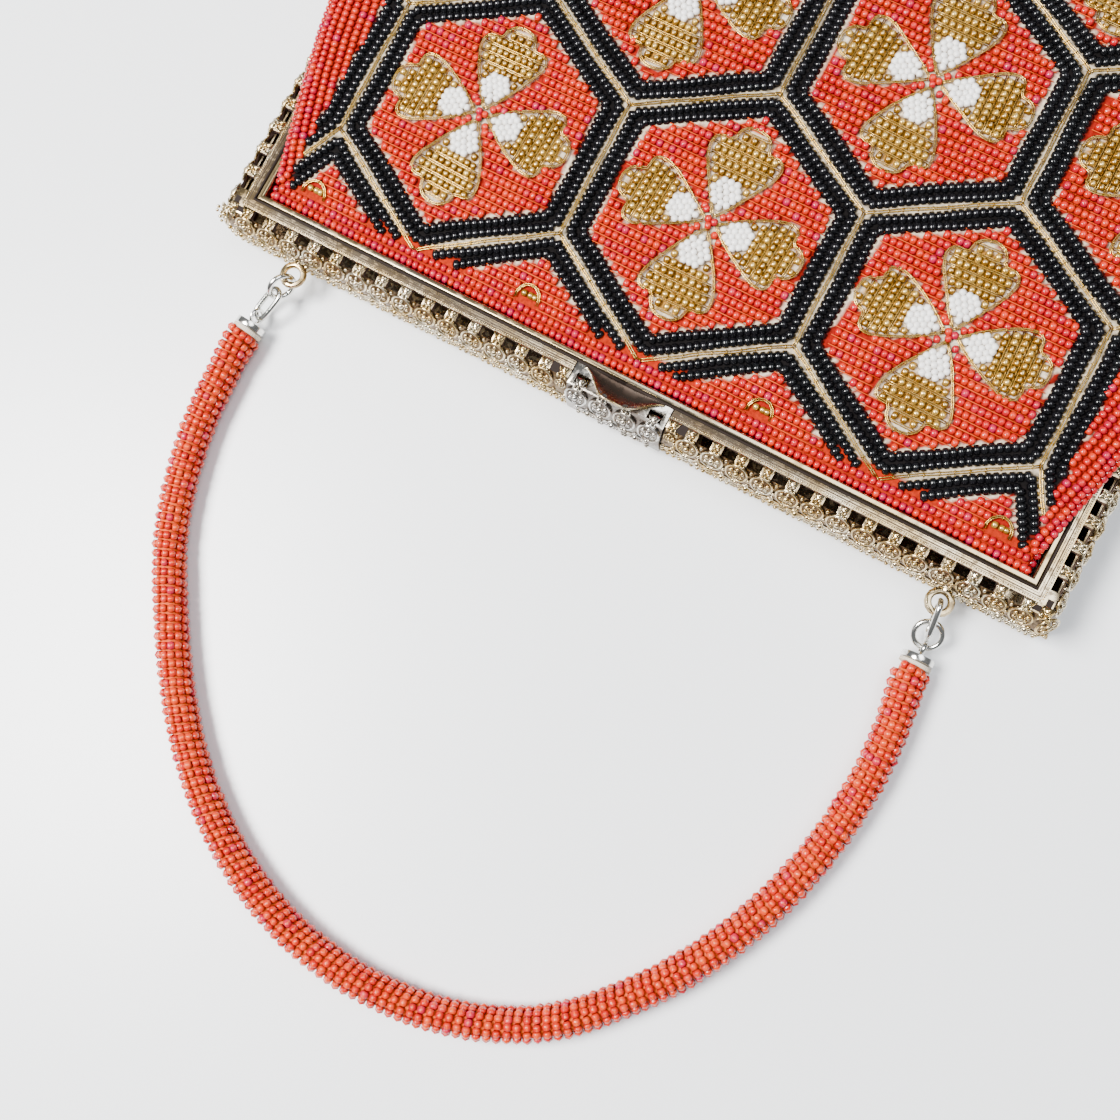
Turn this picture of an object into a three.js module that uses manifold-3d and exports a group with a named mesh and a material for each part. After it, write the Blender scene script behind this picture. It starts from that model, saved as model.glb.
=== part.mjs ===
// A beaded frame bag that lies on its back, with its rope handle laid out on the table.
// Millimetres. +X runs along the frame, +Y from the frame to the bottom of the bag, +Z out of the
// front panel. The origin is on the table, under the middle of the flattened back.
import * as THREE from "three";
import { mergeVertices } from "three/addons/utils/BufferGeometryUtils.js";
import Module from "manifold-3d";

const wasm = await Module();
wasm.setup();

// Frame
const rimHalfWidth = 96.3; // half of the opening inside the plain front rim
const rimReach = 62; // from the origin to the rim's inner edge at the top of the bag
const armLength = 50; // arms, measured from the rim's inner edge
const frameDepth = 16.6; // back half-frame, from its back face to its front face
const frameWidth = 6.7; // pierced band, from the parting line to the outer wall
const sheet = 1.3; // wall of the casting
const bandWidth = 2; // smooth band beside the parting line
const shoulderIn = 4.4; // where the front face turns into the sloping shoulder
const shoulderDrop = 5.2; // height of the sloping shoulder
const backRound = 2; // rounding between the outer wall and the back face
const cornerRound = 2.6; // rounding of the two outer corners, seen from the front
const partingGap = 0.45; // dark line between the two half-frames
const rimWidth = 1.7;
const rimDepth = 6.4;
const rimProud = 0.3; // the rim stands this much above the pierced band
const rimBevel = 0.4;

// Ornament
const pitch = 6.13; // from rosette to rosette
const rosetteRadius = 2.55;
const rosetteTop = 2.3; // radius of a rosette's upper face
const rosetteRise = 0.6;
const bossRadius = 0.95;
const bossTop = 0.57;
const bossRise = 0.45;
const windowWide = 3.4;
const windowDeep = 2.3;
const windowGap = 0.2; // from the smooth band to a window
const leverWindowIn = 2.9; // from an end of the lever to the middle of its window

// Clasp
const leverLength = 24;
const leverProud = 0.9; // the lever stands out past the frame's outer wall
const lipHalfLength = 9.9;
const lipReach = 5.3;
const lipRise = 3;
const lipSheet = 0.8;
const lipEnds = 0.06; // share of the reach and rise that the lip's ends keep
const lipFullness = 1.3; // how soon the lip's bow reaches its full depth
const pivotIn = 1.8; // from the frame's outer wall in to the clasp pin
const pivotHeight = 3.6;
const pinRadius = 0.6;
const knuckleRadius = 1.7;
const knuckleLength = 14;
const lugLength = 3;
const tongueWidth = 8;
const tongueReach = 2.1;
const tongueHeight = 11.8;
const tongueThick = 1;
const hookOverlap = 0.4;
const hookDrop = 0.6;

// Rivets at the arm ends
const rivetRadius = 0.9;
const rivetFromEnd = 4;
const rivetHeight = 8.8;
const rivetLug = 2.2; // half width of the rim's lug round the rivet
const rivetHeadRadius = 1.8;
const rivetHeadThick = 0.8;
const rivetSeat = 1.2; // depth of the blind hole in the rim

// Handle fittings
const eyeRingRadius = 2.55;
const eyeWire = 0.85;
const eyeHeight = 8;
const eyeShank = 1;
const eyeHeadRadius = 1.8;
const eyeHeadThick = 0.8;
const linkLength = 9.8;
const linkHalfWidth = 2;
const linkWire = 0.62;
const jumpRadius = 3.2;
const jumpWire = 0.6;
const capRadius = 3.75;
const capThick = 1.4;
const loopRadius = 1.75;
const loopWire = 0.5;
const loopSunk = 0.22; // the loop's wire is sunk this deep in its cap
const ropeRadius = 4.2;
const ropeRest = 0.1; // the rope lies this much clear of the table
const ropeSides = 12;
const ropeSteps = 66;

// Pouch
const wall = 2.4; // cloth with its layer of beads
const bodyReach = 68; // from the origin to the bottom edge of the bag
const sideBulge = 12; // the body is this much wider than the rim's opening, on each side
const frontRise = 5.2; // the front panel swells this much above the frame
const swell = 11; // length over which it swells
const bellyHeight = 10.5; // height of the widest line of the body's side
const cornerRadius = 22;
const bottomRound = 15;
const mouthEdge = 1.6; // rounding of the panel's edge inside the rim
const panelEdge = 1.2; // half of the thickness of the panel's edge where it bulges over the frame
const panelCrown = 0.14; // how much less the panel swells at its sides
const sideEdge = 0.72; // from the widest line down to the underside below the arms
const edgeGrowth = 0.5; // the panel's edge is rounded more where it bulges further
const ledgeFlat = 0.9; // share of the bulge whose underside is flat
const undercut = 0.1; // the underside of the rounded bottom edge stands in by this much
const backRounding = 5; // rounding of the back's edge beside the arms
const sideRounding = 8; // rounding of the body's side below the arms

const clearance = 0.3;
const past = 1; // cuts run this far past the faces that they open

// Rope route from the left cap to the right cap, as it lies on the table: x, y
const ropeRoute = [
  [-89.7, -100],
  [-88.0, -119],
  [-81.5, -140.8],
  [-70.5, -159.4],
  [-58.0, -176],
  [-43.6, -190],
  [-26.5, -200.8],
  [-7.3, -207.2],
  [12.9, -208.4],
  [32.3, -204.6],
  [49.6, -195.8],
  [62.9, -181.9],
  [72.9, -167],
  [79.9, -151.4],
  [84.4, -135.5],
  [86.5, -119],
  [86.4, -105],
];

// Each side of the handle. eyeIn: how far in from the rim's inner corner its eye stands. chainX and
// capX: how far the links and the cap lean along X for each step away from the bag. slack: how far
// each of the two links is pushed back from hanging taut. Rolls turn a link about the way it hangs.
const handleSides = [
  {
    name: "left",
    sign: -1,
    eyeIn: 11.7,
    chainX: -0.36,
    capX: -0.09,
    slack: [0, 0],
    jumpRingFirst: true,
    jumpRoll: -72,
    linkRoll: 20,
    loopRoll: -70,
  },
  {
    name: "right",
    sign: 1,
    eyeIn: 13.7,
    chainX: 0.17,
    capX: 0.04,
    slack: [0.9, 1.5],
    jumpRingFirst: false,
    jumpRoll: 0,
    linkRoll: 90,
    loopRoll: 90,
  },
];

// Worked out from the sizes above
const partingHalf = rimHalfWidth + rimWidth + partingGap;
const partingReach = rimReach + rimWidth + partingGap;
const armEndY = armLength - rimReach;
const outerWallY = -(partingReach + frameWidth);
const rimTop = frameDepth + rimProud;
const pivotY = outerWallY + pivotIn;
const mouthY = -(rimReach - clearance);
const mouthHalf = rimHalfWidth - clearance;
const ledge = rimTop + clearance;
const slotHalf = leverLength / 2 + clearance;
const loopToCap = loopRadius + loopWire - loopSunk;
const ropeStart = [0, ropeRadius]; // the rope leaves its cap straight
const ropeHeight = ropeRadius + ropeRest;
const pinHole = pinRadius + clearance;
const tongueTip = -(partingReach - partingGap + tongueReach);

const X = new THREE.Vector3(1, 0, 0);
const Y = new THREE.Vector3(0, 1, 0);
const Z = new THREE.Vector3(0, 0, 1);

// Solids

function merged(geometry) {
  const bare = geometry.index ? geometry.toNonIndexed() : geometry.clone();
  bare.deleteAttribute("normal");
  bare.deleteAttribute("uv");
  return mergeVertices(bare, 1e-4);
}

// A closed geometry as a solid for joining and cutting. A mirrored one is turned the right way out.
function solid(geometry) {
  const mesh = merged(geometry);
  const vertProperties = mesh.attributes.position.array;
  const triVerts = new Uint32Array(mesh.index.array);
  const made = new wasm.Manifold(new wasm.Mesh({ numProp: 3, vertProperties, triVerts }));
  if (made.volume() > 0) return made;
  for (let i = 0; i < triVerts.length; i += 3) {
    [triVerts[i + 1], triVerts[i + 2]] = [triVerts[i + 2], triVerts[i + 1]];
  }
  return new wasm.Manifold(new wasm.Mesh({ numProp: 3, vertProperties, triVerts }));
}

function geometryOf(made) {
  const mesh = made.getMesh();
  const geometry = new THREE.BufferGeometry();
  geometry.setAttribute("position", new THREE.BufferAttribute(mesh.vertProperties, 3));
  geometry.setIndex(new THREE.BufferAttribute(mesh.triVerts, 1));
  return geometry;
}

// A skin through rings that have the same number of points, closed at both ends.
function loft(rings, capFaces) {
  const count = rings[0].length;
  const positions = rings.flat().flatMap((p) => [p.x, p.y, p.z]);
  const index = [];
  for (let r = 0; r < rings.length - 1; r++) {
    for (let i = 0; i < count; i++) {
      const a = r * count + i;
      const b = r * count + ((i + 1) % count);
      index.push(a, b, b + count, a, b + count, a + count);
    }
  }
  const last = (rings.length - 1) * count;
  for (const [a, b, c] of capFaces) {
    index.push(a, c, b);
    index.push(last + a, last + b, last + c);
  }
  const geometry = new THREE.BufferGeometry();
  geometry.setAttribute("position", new THREE.Float32BufferAttribute(positions, 3));
  geometry.setIndex(index);
  return geometry;
}

// Triangles over a flat outline, turned the way the outline's points run.
function facesOver(outline) {
  const faces = THREE.ShapeUtils.triangulateShape([...outline], []);
  return THREE.ShapeUtils.isClockWise(outline) ? faces.map(([a, b, c]) => [a, c, b]) : faces;
}

function box(x0, x1, y0, y1, z0, z1) {
  const geometry = new THREE.BoxGeometry(x1 - x0, y1 - y0, z1 - z0);
  return geometry.translate((x0 + x1) / 2, (y0 + y1) / 2, (z0 + z1) / 2);
}

// A round bar from one point to another.
function bar(from, to, radius, sides) {
  const along = to.clone().sub(from);
  const geometry = new THREE.CylinderGeometry(radius, radius, along.length(), sides);
  geometry.applyQuaternion(new THREE.Quaternion().setFromUnitVectors(Y, along.clone().normalize()));
  return geometry.translate(...from.clone().add(to).multiplyScalar(0.5).toArray());
}

// A ring of wire round a centre. normal is the axis of the ring.
function ring(centre, normal, radius, wire, wireSides = 6, sides = 16) {
  const geometry = new THREE.TorusGeometry(radius, wire, wireSides, sides);
  geometry.applyQuaternion(new THREE.Quaternion().setFromUnitVectors(Z, normal));
  return geometry.translate(...centre.toArray());
}

// Frame

// Cross-section of the back half-frame: u runs out from the parting line, z up from the back face.
function bandProfile() {
  const inner = -(rimWidth + partingGap);
  const shape = new THREE.Shape();
  shape.moveTo(0, frameDepth - sheet);
  shape.lineTo(0, frameDepth);
  shape.lineTo(shoulderIn, frameDepth);
  shape.lineTo(frameWidth, frameDepth - shoulderDrop);
  shape.lineTo(frameWidth, backRound);
  shape.quadraticCurveTo(frameWidth, 0, frameWidth - backRound, 0);
  shape.lineTo(inner, 0);
  shape.lineTo(inner, sheet);
  shape.lineTo(frameWidth - backRound, sheet);
  shape.lineTo(frameWidth - sheet, backRound + sheet / 2);
  shape.lineTo(frameWidth - sheet, frameDepth - shoulderDrop);
  shape.lineTo(shoulderIn - sheet / 2, frameDepth - sheet);
  return shape.getPoints(3);
}

// Cross-section of the plain front rim.
function rimProfile() {
  const outer = -partingGap;
  const inner = outer - rimWidth;
  return [
    new THREE.Vector2(inner, rimTop - rimDepth),
    new THREE.Vector2(outer, rimTop - rimDepth),
    new THREE.Vector2(outer, rimTop - rimBevel),
    new THREE.Vector2(outer - rimBevel, rimTop),
    new THREE.Vector2(inner + rimBevel, rimTop),
    new THREE.Vector2(inner, rimTop - rimBevel),
  ];
}

// A section carried up the left arm, across the top bar and down the right arm, with mitred corners.
function alongFrame(profile) {
  const contour = profile.filter((p, i) => p.distanceTo(profile[(i + 1) % profile.length]) > 1e-6);
  const at = (x, y) => contour.map((p) => new THREE.Vector3(x(p.x), y(p.x), p.y));
  const left = (u) => -(partingHalf + u);
  const right = (u) => partingHalf + u;
  const top = (u) => -(partingReach + u);
  const armEnd = () => armEndY;
  const rings = [at(left, armEnd), at(left, top), at(right, top), at(right, armEnd)];
  return solid(loft(rings, facesOver(contour)));
}

// A rosette of cast relief on the sloping shoulder: a low disc with a boss, facing out of the slope.
function rosette() {
  const slope = new THREE.Vector2(frameWidth - shoulderIn, shoulderDrop);
  const out = new THREE.Vector3(0, -slope.y, slope.x).normalize();
  const sunk = sheet / 2;
  const disc = new THREE.CylinderGeometry(rosetteTop, rosetteRadius, rosetteRise + sunk, 8);
  disc.translate(0, (rosetteRise - sunk) / 2, 0);
  const boss = new THREE.CylinderGeometry(bossTop, bossRadius, bossRise + sunk, 6);
  boss.translate(0, rosetteRise + (bossRise - sunk) / 2, 0);
  const turn = new THREE.Quaternion().setFromUnitVectors(Y, out);
  const made = solid(disc).add(solid(boss));
  return geometryOf(made).applyQuaternion(turn);
}

const rosetteShape = rosette();
const rosetteU = (shoulderIn + frameWidth) / 2;
const rosetteZ = frameDepth - shoulderDrop / 2;

// The rosette at a place along the top bar (side 0) or along the left (-1) or right (1) arm.
function placedRosette(side, along, proud = 0) {
  const geometry = rosetteShape.clone();
  const u = rosetteU + proud;
  if (side === 0) return geometry.translate(along, -(partingReach + u), rosetteZ);
  return geometry.rotateZ((side * Math.PI) / 2).translate(side * (partingHalf + u), along, rosetteZ);
}

// A window through the front face, at a place along the top bar or an arm.
function windowCut(side, along) {
  const mid = bandWidth + windowGap + windowDeep / 2;
  const z = frameDepth - sheet / 2;
  const tall = sheet + 2 * past;
  if (side === 0) {
    return new THREE.BoxGeometry(windowWide, windowDeep, tall).translate(along, -(partingReach + mid), z);
  }
  const x = side * (partingHalf + mid);
  return new THREE.BoxGeometry(windowDeep, windowWide, tall).translate(x, along, z);
}

// Places of the ornament, worked out from the pitch
const topCount = Math.floor(partingHalf / pitch);
const armCount = Math.floor((armLength - pitch / 2) / pitch);
const firstBeside = Math.floor(slotHalf / pitch) + 1;

function makeBackFrame() {
  let made = alongFrame(bandProfile());
  const cuts = [];
  for (const sign of [-1, 1]) {
    for (let k = firstBeside; k <= topCount; k++) {
      made = made.add(solid(placedRosette(0, sign * k * pitch)));
      if (k < topCount) cuts.push(windowCut(0, sign * (k + 0.5) * pitch));
    }
    for (let k = 0; k < armCount; k++) {
      const along = -partingReach + pitch * (k + 1);
      made = made.add(solid(placedRosette(sign, along)));
      cuts.push(windowCut(sign, along - pitch / 2));
    }
  }
  // The slot for the lever, with a lug for its pin at each end
  const slotFloor = sheet + clearance;
  cuts.push(box(-slotHalf, slotHalf, outerWallY - past, -partingReach + past, slotFloor, frameDepth + past));
  const lugTop = pivotHeight + knuckleRadius + clearance;
  const lugInner = pivotY + knuckleRadius;
  const lugOuter = outerWallY + clearance;
  const holeEnd = slotHalf + lugLength;
  made = made.add(solid(box(-holeEnd, -slotHalf, lugOuter, lugInner, sheet / 2, lugTop)));
  made = made.add(solid(box(slotHalf, holeEnd, lugOuter, lugInner, sheet / 2, lugTop)));
  cuts.push(bar(pinPoint(-holeEnd - past), pinPoint(holeEnd + past), pinHole, 10));
  for (const handleSide of handleSides) {
    const outside = eyePoint(handleSide, outerWallY - past);
    const inside = eyePoint(handleSide, outerWallY + sheet + past);
    cuts.push(bar(outside, inside, eyeShank + clearance, 10));
  }
  for (const sign of [-1, 1]) {
    const outside = rivetPoint(sign, frameWidth + past);
    const inside = rivetPoint(sign, frameWidth - sheet - past);
    cuts.push(bar(inside, outside, rivetRadius + clearance, 10));
  }
  for (const cut of cuts) made = made.subtract(solid(cut));
  for (const sign of [-1, 1]) made = made.subtract(cornerCut(sign));
  return geometryOf(made);
}

// What the rounding takes off an outer corner of the frame.
function cornerCut(sign) {
  const x = sign * (partingHalf + frameWidth - cornerRound);
  const y = outerWallY + cornerRound;
  const far = x + sign * (cornerRound + past);
  const corner = box(Math.min(x, far), Math.max(x, far), outerWallY - past, y, -past, frameDepth + past);
  const low = new THREE.Vector3(x, y, -2 * past);
  const high = new THREE.Vector3(x, y, frameDepth + 2 * past);
  return solid(corner).subtract(solid(bar(low, high, cornerRound, 24)));
}

// A point on the axis of an eye's shank.
function eyePoint({ sign, eyeIn }, y) {
  return new THREE.Vector3(sign * (rimHalfWidth - eyeIn), y, eyeHeight);
}

// A point on the axis of the clasp pin.
function pinPoint(x) {
  return new THREE.Vector3(x, pivotY, pivotHeight);
}

// A point on the axis of an arm's rivet, at a distance u out from the parting line.
function rivetPoint(sign, u) {
  return new THREE.Vector3(sign * (partingHalf + u), armEndY - rivetFromEnd, rivetHeight);
}

function makeFrontRim() {
  let made = alongFrame(rimProfile());
  // The tongue that the lever's hook holds
  const half = tongueWidth / 2;
  const tongueIn = -(partingReach - partingGap - rimWidth / 2);
  made = made.add(solid(box(-half, half, tongueTip, tongueIn, tongueHeight, tongueHeight + tongueThick)));
  const lugFoot = rivetHeight - rivetLug;
  const lugTop = rimTop - rimDepth / 2;
  for (const sign of [-1, 1]) {
    // The lug that comes down from the rim to the rivet
    const lug = new THREE.BoxGeometry(rimWidth, 2 * rivetLug, lugTop - lugFoot);
    const middle = rivetPoint(sign, -partingGap - rimWidth / 2);
    lug.translate(middle.x, middle.y, (lugFoot + lugTop) / 2);
    made = made.add(solid(lug));
    const seat = rivetPoint(sign, -partingGap - rivetSeat);
    made = made.subtract(solid(bar(seat, rivetPoint(sign, past), rivetRadius + clearance, 10)));
  }
  return geometryOf(made);
}

function makeRivet(sign) {
  const inner = rivetPoint(sign, -partingGap - rivetSeat + clearance);
  const under = rivetPoint(sign, frameWidth + clearance);
  const top = rivetPoint(sign, frameWidth + clearance + rivetHeadThick);
  const shank = solid(bar(inner, under.clone().lerp(top, 0.5), rivetRadius, 10));
  return geometryOf(shank.add(solid(bar(under, top, rivetHeadRadius, 12))));
}

// Clasp

// Cross-section of the lever: the frame's front face, shoulder and wall, standing a little proud.
function leverProfile() {
  const out = frameWidth + leverProud;
  const foot = pivotHeight;
  const shape = new THREE.Shape();
  shape.moveTo(0, frameDepth);
  shape.lineTo(shoulderIn + leverProud, frameDepth);
  shape.lineTo(out, frameDepth - shoulderDrop);
  shape.lineTo(out, foot);
  shape.lineTo(out - sheet, foot);
  shape.lineTo(out - sheet, frameDepth - shoulderDrop);
  shape.lineTo(shoulderIn, frameDepth - sheet);
  shape.lineTo(0, frameDepth - sheet);
  return shape;
}

// The thumb lip: it starts flat at the parting line and flares up and out to a bow-shaped edge.
function lip() {
  const across = 12;
  const up = 4;
  const rings = [];
  for (let i = 0; i <= across; i++) {
    const x = lipHalfLength * ((2 * i) / across - 1);
    const inward = Math.min(1, (1 - Math.abs(x) / lipHalfLength) * lipFullness);
    const bow = THREE.MathUtils.lerp(lipEnds, 1, THREE.MathUtils.smoothstep(inward, 0, 1));
    const upper = [];
    const lower = [];
    for (let j = 0; j <= up; j++) {
      const t = j / up;
      const y = -partingReach - lipReach * bow * t;
      const z = frameDepth + lipRise * bow * t * t;
      upper.push(new THREE.Vector3(x, y, z));
      lower.unshift(new THREE.Vector3(x, y, z - lipSheet));
    }
    rings.push([...upper, ...lower]);
  }
  return solid(loft(rings, facesOver(rings[across / 2].map((p) => new THREE.Vector2(p.y, p.z)))));
}

function makeLever() {
  const half = leverLength / 2;
  const plate = new THREE.ExtrudeGeometry(leverProfile(), { depth: leverLength, bevelEnabled: false });
  // The profile's u runs to -Y, its z up and its depth along X
  const axes = new THREE.Matrix4().makeBasis(new THREE.Vector3(0, -1, 0), Z, X.clone().negate());
  plate.applyMatrix4(axes).translate(half, -partingReach, 0);
  let made = solid(plate);
  for (const k of [-1.5, -0.5, 0.5, 1.5]) {
    made = made.add(solid(placedRosette(0, k * pitch, leverProud)));
  }
  made = made.subtract(solid(windowCut(0, leverWindowIn - half)));
  made = made.subtract(solid(windowCut(0, half - leverWindowIn)));
  made = made.add(lip());
  // The knuckle round the pin, and the web that carries it
  const end = knuckleLength / 2;
  const webTop = pivotHeight + knuckleRadius;
  made = made.add(solid(bar(pinPoint(-end), pinPoint(end), knuckleRadius, 12)));
  made = made.add(solid(box(-end, end, outerWallY - leverProud, pivotY, pivotHeight, webTop)));
  made = made.subtract(solid(bar(pinPoint(-half - past), pinPoint(half + past), pinHole, 10)));
  // The hook under the front face, outside the tongue and reaching under it
  const hookHalf = tongueWidth / 2 - clearance;
  const shankIn = tongueTip - clearance;
  const shankOut = shankIn - sheet;
  const footTop = tongueHeight - hookDrop;
  const footBottom = footTop - sheet;
  made = made.add(solid(box(-hookHalf, hookHalf, shankOut, shankIn, footBottom, frameDepth - sheet / 2)));
  made = made.add(solid(box(-hookHalf, hookHalf, shankOut, tongueTip + hookOverlap, footBottom, footTop)));
  return geometryOf(made);
}

function makeClaspPin() {
  const end = slotHalf + lugLength - clearance;
  return bar(pinPoint(-end), pinPoint(end), pinRadius, 10);
}

// Handle fittings

// The stadium ring of an oval link, long along Y. No vertex lies on the line where it is stretched.
function ovalLink(straight) {
  const sides = 16;
  const geometry = new THREE.TorusGeometry(linkHalfWidth, linkWire, 6, sides);
  geometry.rotateZ(Math.PI / sides);
  const position = geometry.attributes.position;
  for (let i = 0; i < position.count; i++) {
    position.setY(i, position.getY(i) + (Math.sign(position.getY(i)) * straight) / 2);
  }
  return geometry;
}

// The places of one side's fittings, from the eye to the cap.
function chainOf(handleSide) {
  const { chainX, capX, jumpRingFirst, slack } = handleSide;
  const eye = eyePoint(handleSide, outerWallY - eyeRingRadius - eyeWire);
  const flat = new THREE.Vector3(chainX, -1, 0).normalize();
  const capAxis = new THREE.Vector3(capX, -1, 0).normalize();
  const straight = linkLength - 2 * (linkHalfWidth + linkWire);
  const fromEye = eye.clone().addScaledVector(flat, eyeRingRadius);
  const ringSpan = 2 * jumpRadius;
  const taut = jumpRingFirst
    ? ringSpan - jumpInEye() + straight + linkHalfWidth
    : straight + ringSpan;
  const run = taut - slack[0] - slack[1];
  const fall = eyeHeight - ropeHeight;
  const along = flat.clone().multiplyScalar(Math.sqrt(run * run - fall * fall));
  along.z = -fall;
  along.normalize();
  const at = (distance) => fromEye.clone().addScaledVector(along, distance);
  const places = { eye, along, capAxis, straight, loop: at(run) };
  if (jumpRingFirst) {
    places.jump = at(jumpRadius - jumpInEye() - slack[0]);
    places.link = at(ringSpan - jumpInEye() + straight / 2 - slack[0] - slack[1]);
  } else {
    places.link = at(straight / 2 - slack[0]);
    places.jump = at(straight + jumpRadius - slack[0] - slack[1]);
  }
  return places;
}

// How far inside the eye's wire the jump ring's wire passes.
function jumpInEye() {
  return eyeWire + jumpWire + clearance;
}

// The axis of a ring or link that hangs along a direction, rolled about it from lying flat.
function rolledAxis(along, degrees) {
  const side = new THREE.Vector3().crossVectors(along, Z).normalize();
  const up = new THREE.Vector3().crossVectors(side, along);
  return up.applyAxisAngle(along, THREE.MathUtils.degToRad(degrees));
}

function makeEye({ eye }) {
  let made = solid(ring(eye, Z, eyeRingRadius, eyeWire, 6, 16));
  const joint = eye.clone().add(new THREE.Vector3(0, eyeRingRadius, 0));
  const inner = new THREE.Vector3(eye.x, outerWallY + sheet + clearance, eye.z);
  const head = inner.clone().add(new THREE.Vector3(0, eyeHeadThick, 0));
  made = made.add(solid(bar(joint, head, eyeShank, 10)));
  made = made.add(solid(bar(inner, head, eyeHeadRadius, 12)));
  return geometryOf(made);
}

function makeLink({ link, along, straight }, roll) {
  const normal = rolledAxis(along, roll);
  const side = new THREE.Vector3().crossVectors(along, normal);
  const basis = new THREE.Matrix4().makeBasis(side, along, normal.clone().negate());
  return ovalLink(straight).applyMatrix4(basis).translate(...link.toArray());
}

function makeJumpRing({ jump, along }, roll) {
  return ring(jump, rolledAxis(along, roll), jumpRadius, jumpWire);
}

// The cap: a disc across the rope's end, with a loop standing on it.
function makeCap({ loop, capAxis }, roll) {
  let made = solid(ring(loop, rolledAxis(capAxis, roll), loopRadius, loopWire));
  const top = loop.clone().addScaledVector(capAxis, loopToCap);
  const bottom = top.clone().addScaledVector(capAxis, capThick);
  made = made.add(solid(bar(top, bottom, capRadius, 20)));
  return geometryOf(made);
}

// The rope as one round tube from cap to cap.
function makeRope(chains) {
  const toRope = loopToCap + capThick + clearance;
  const [left, right] = chains.map(({ loop, capAxis }) =>
    ropeStart.map((length) => loop.clone().addScaledVector(capAxis, toRope + length)),
  );
  const lying = ropeRoute.map(([x, y]) => new THREE.Vector3(x, y, ropeHeight));
  const path = new THREE.CatmullRomCurve3([...left, ...lying, ...right.reverse()], false, "centripetal");
  const section = new THREE.Shape();
  for (let i = 0; i < ropeSides; i++) {
    const angle = (2 * Math.PI * i) / ropeSides;
    const p = [ropeRadius * Math.cos(angle), ropeRadius * Math.sin(angle)];
    if (i === 0) section.moveTo(...p);
    else section.lineTo(...p);
  }
  section.closePath();
  return new THREE.ExtrudeGeometry(section, { steps: ropeSteps, extrudePath: path, bevelEnabled: false });
}

// Pouch

// Stations of the pouch beside the arms, from the mouth to the arms' ends. lifted: whether the
// panel's edge has risen past the rim. over: how far it then bulges over the frame, as a share of
// the side bulge.
const armStations = [
  { share: 0, lifted: false, over: 0 },
  { share: 0.06, lifted: false, over: 0 },
  { share: 0.13, lifted: true, over: 0 },
  { share: 0.24, lifted: true, over: 0.13 },
  { share: 0.4, lifted: true, over: 0.3 },
  { share: 0.6, lifted: true, over: 0.52 },
  { share: 0.8, lifted: true, over: 0.72 },
  { share: 1, lifted: true, over: 0.87 },
];

// Stations below the arms, down to where the bottom edge starts to round. low: the width under the
// widest line. belly: height of the widest line, from the body's (0) to the frame's front (1).
const lowerStations = [
  { share: 0.07, over: 0.91, low: 0.5, belly: 0.75 },
  { share: 0.15, over: 0.94, low: 0.86, belly: 0.5 },
  { share: 0.28, over: 0.98, low: 0.96, belly: 0.25 },
  { share: 0.5, over: 1, low: 0.99, belly: 0.05 },
  { share: 0.8, over: 1, low: 0.99, belly: 0 },
];
const bottomTurns = [0, 0.3, 0.55, 0.75, 0.89, 0.97];

// Points of one section: angles of the rounding of the back's edge and of the panel's edge, and
// shares of the way from the middle of the panel to its edge
const backTurns = [0, 22.5, 45, 67.5, 88].map(THREE.MathUtils.degToRad);
const edgeTurns = [0, 22.5, 45, 67.5, 90].map(THREE.MathUtils.degToRad);
const panelShares = [0.75, 0.5, 0.25, 0];

// Height of the front panel's surface over a point of the bag.
function panelHeight(x, y, half) {
  const down = 1 - Math.exp(-(y - mouthY) / swell);
  return frameDepth + frontRise * down * (1 - panelCrown * (x / half) ** 2);
}

// The sections of the pouch's outer surface (inset 0) or of its hollow (inset by the wall).
function pouchSections(inset) {
  const start = armEndY + 2 * clearance;
  const armZone = start - mouthY;
  const end = bodyReach - inset;
  const straight = end - (bottomRound - inset) - start;
  const radius = cornerRadius - inset;
  const widthAt = (y, over) => {
    const into = Math.max(y - (end - radius), 0);
    return mouthHalf - inset + over * sideBulge - (radius - Math.sqrt(radius ** 2 - into ** 2));
  };
  const topBelly = ledge + panelEdge;
  const sections = armStations.map(({ share, lifted, over }) => {
    const y = mouthY + share * armZone;
    const half = mouthHalf - inset;
    if (!lifted || inset > 0) {
      const belly = frameDepth - mouthEdge - inset;
      return { y, low: half, high: half, belly, under: belly - panelEdge, round: backRounding, squash: 1 };
    }
    const high = half + over * sideBulge;
    return { y, low: half, high, belly: topBelly, under: ledge, round: backRounding, squash: 1 };
  });
  for (const { share, over, low, belly } of lowerStations) {
    const y = start + share * straight;
    const height = THREE.MathUtils.lerp(bellyHeight, topBelly - 2 * inset, belly);
    const under = height - sideEdge;
    const round = THREE.MathUtils.lerp(sideRounding, backRounding, belly);
    const widths = { low: widthAt(y, low), high: widthAt(y, over) };
    sections.push({ y, ...widths, belly: height, under, round, squash: 1 });
  }
  for (const turn of bottomTurns) {
    const y = end - (bottomRound - inset) * (1 - turn);
    const squash = Math.sqrt(1 - turn ** 2);
    const high = widthAt(y, 1);
    const under = bellyHeight - sideEdge * squash;
    const low = high - undercut;
    sections.push({ y, low, high, belly: bellyHeight, under, round: sideRounding, squash });
  }
  return sections;
}

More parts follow.
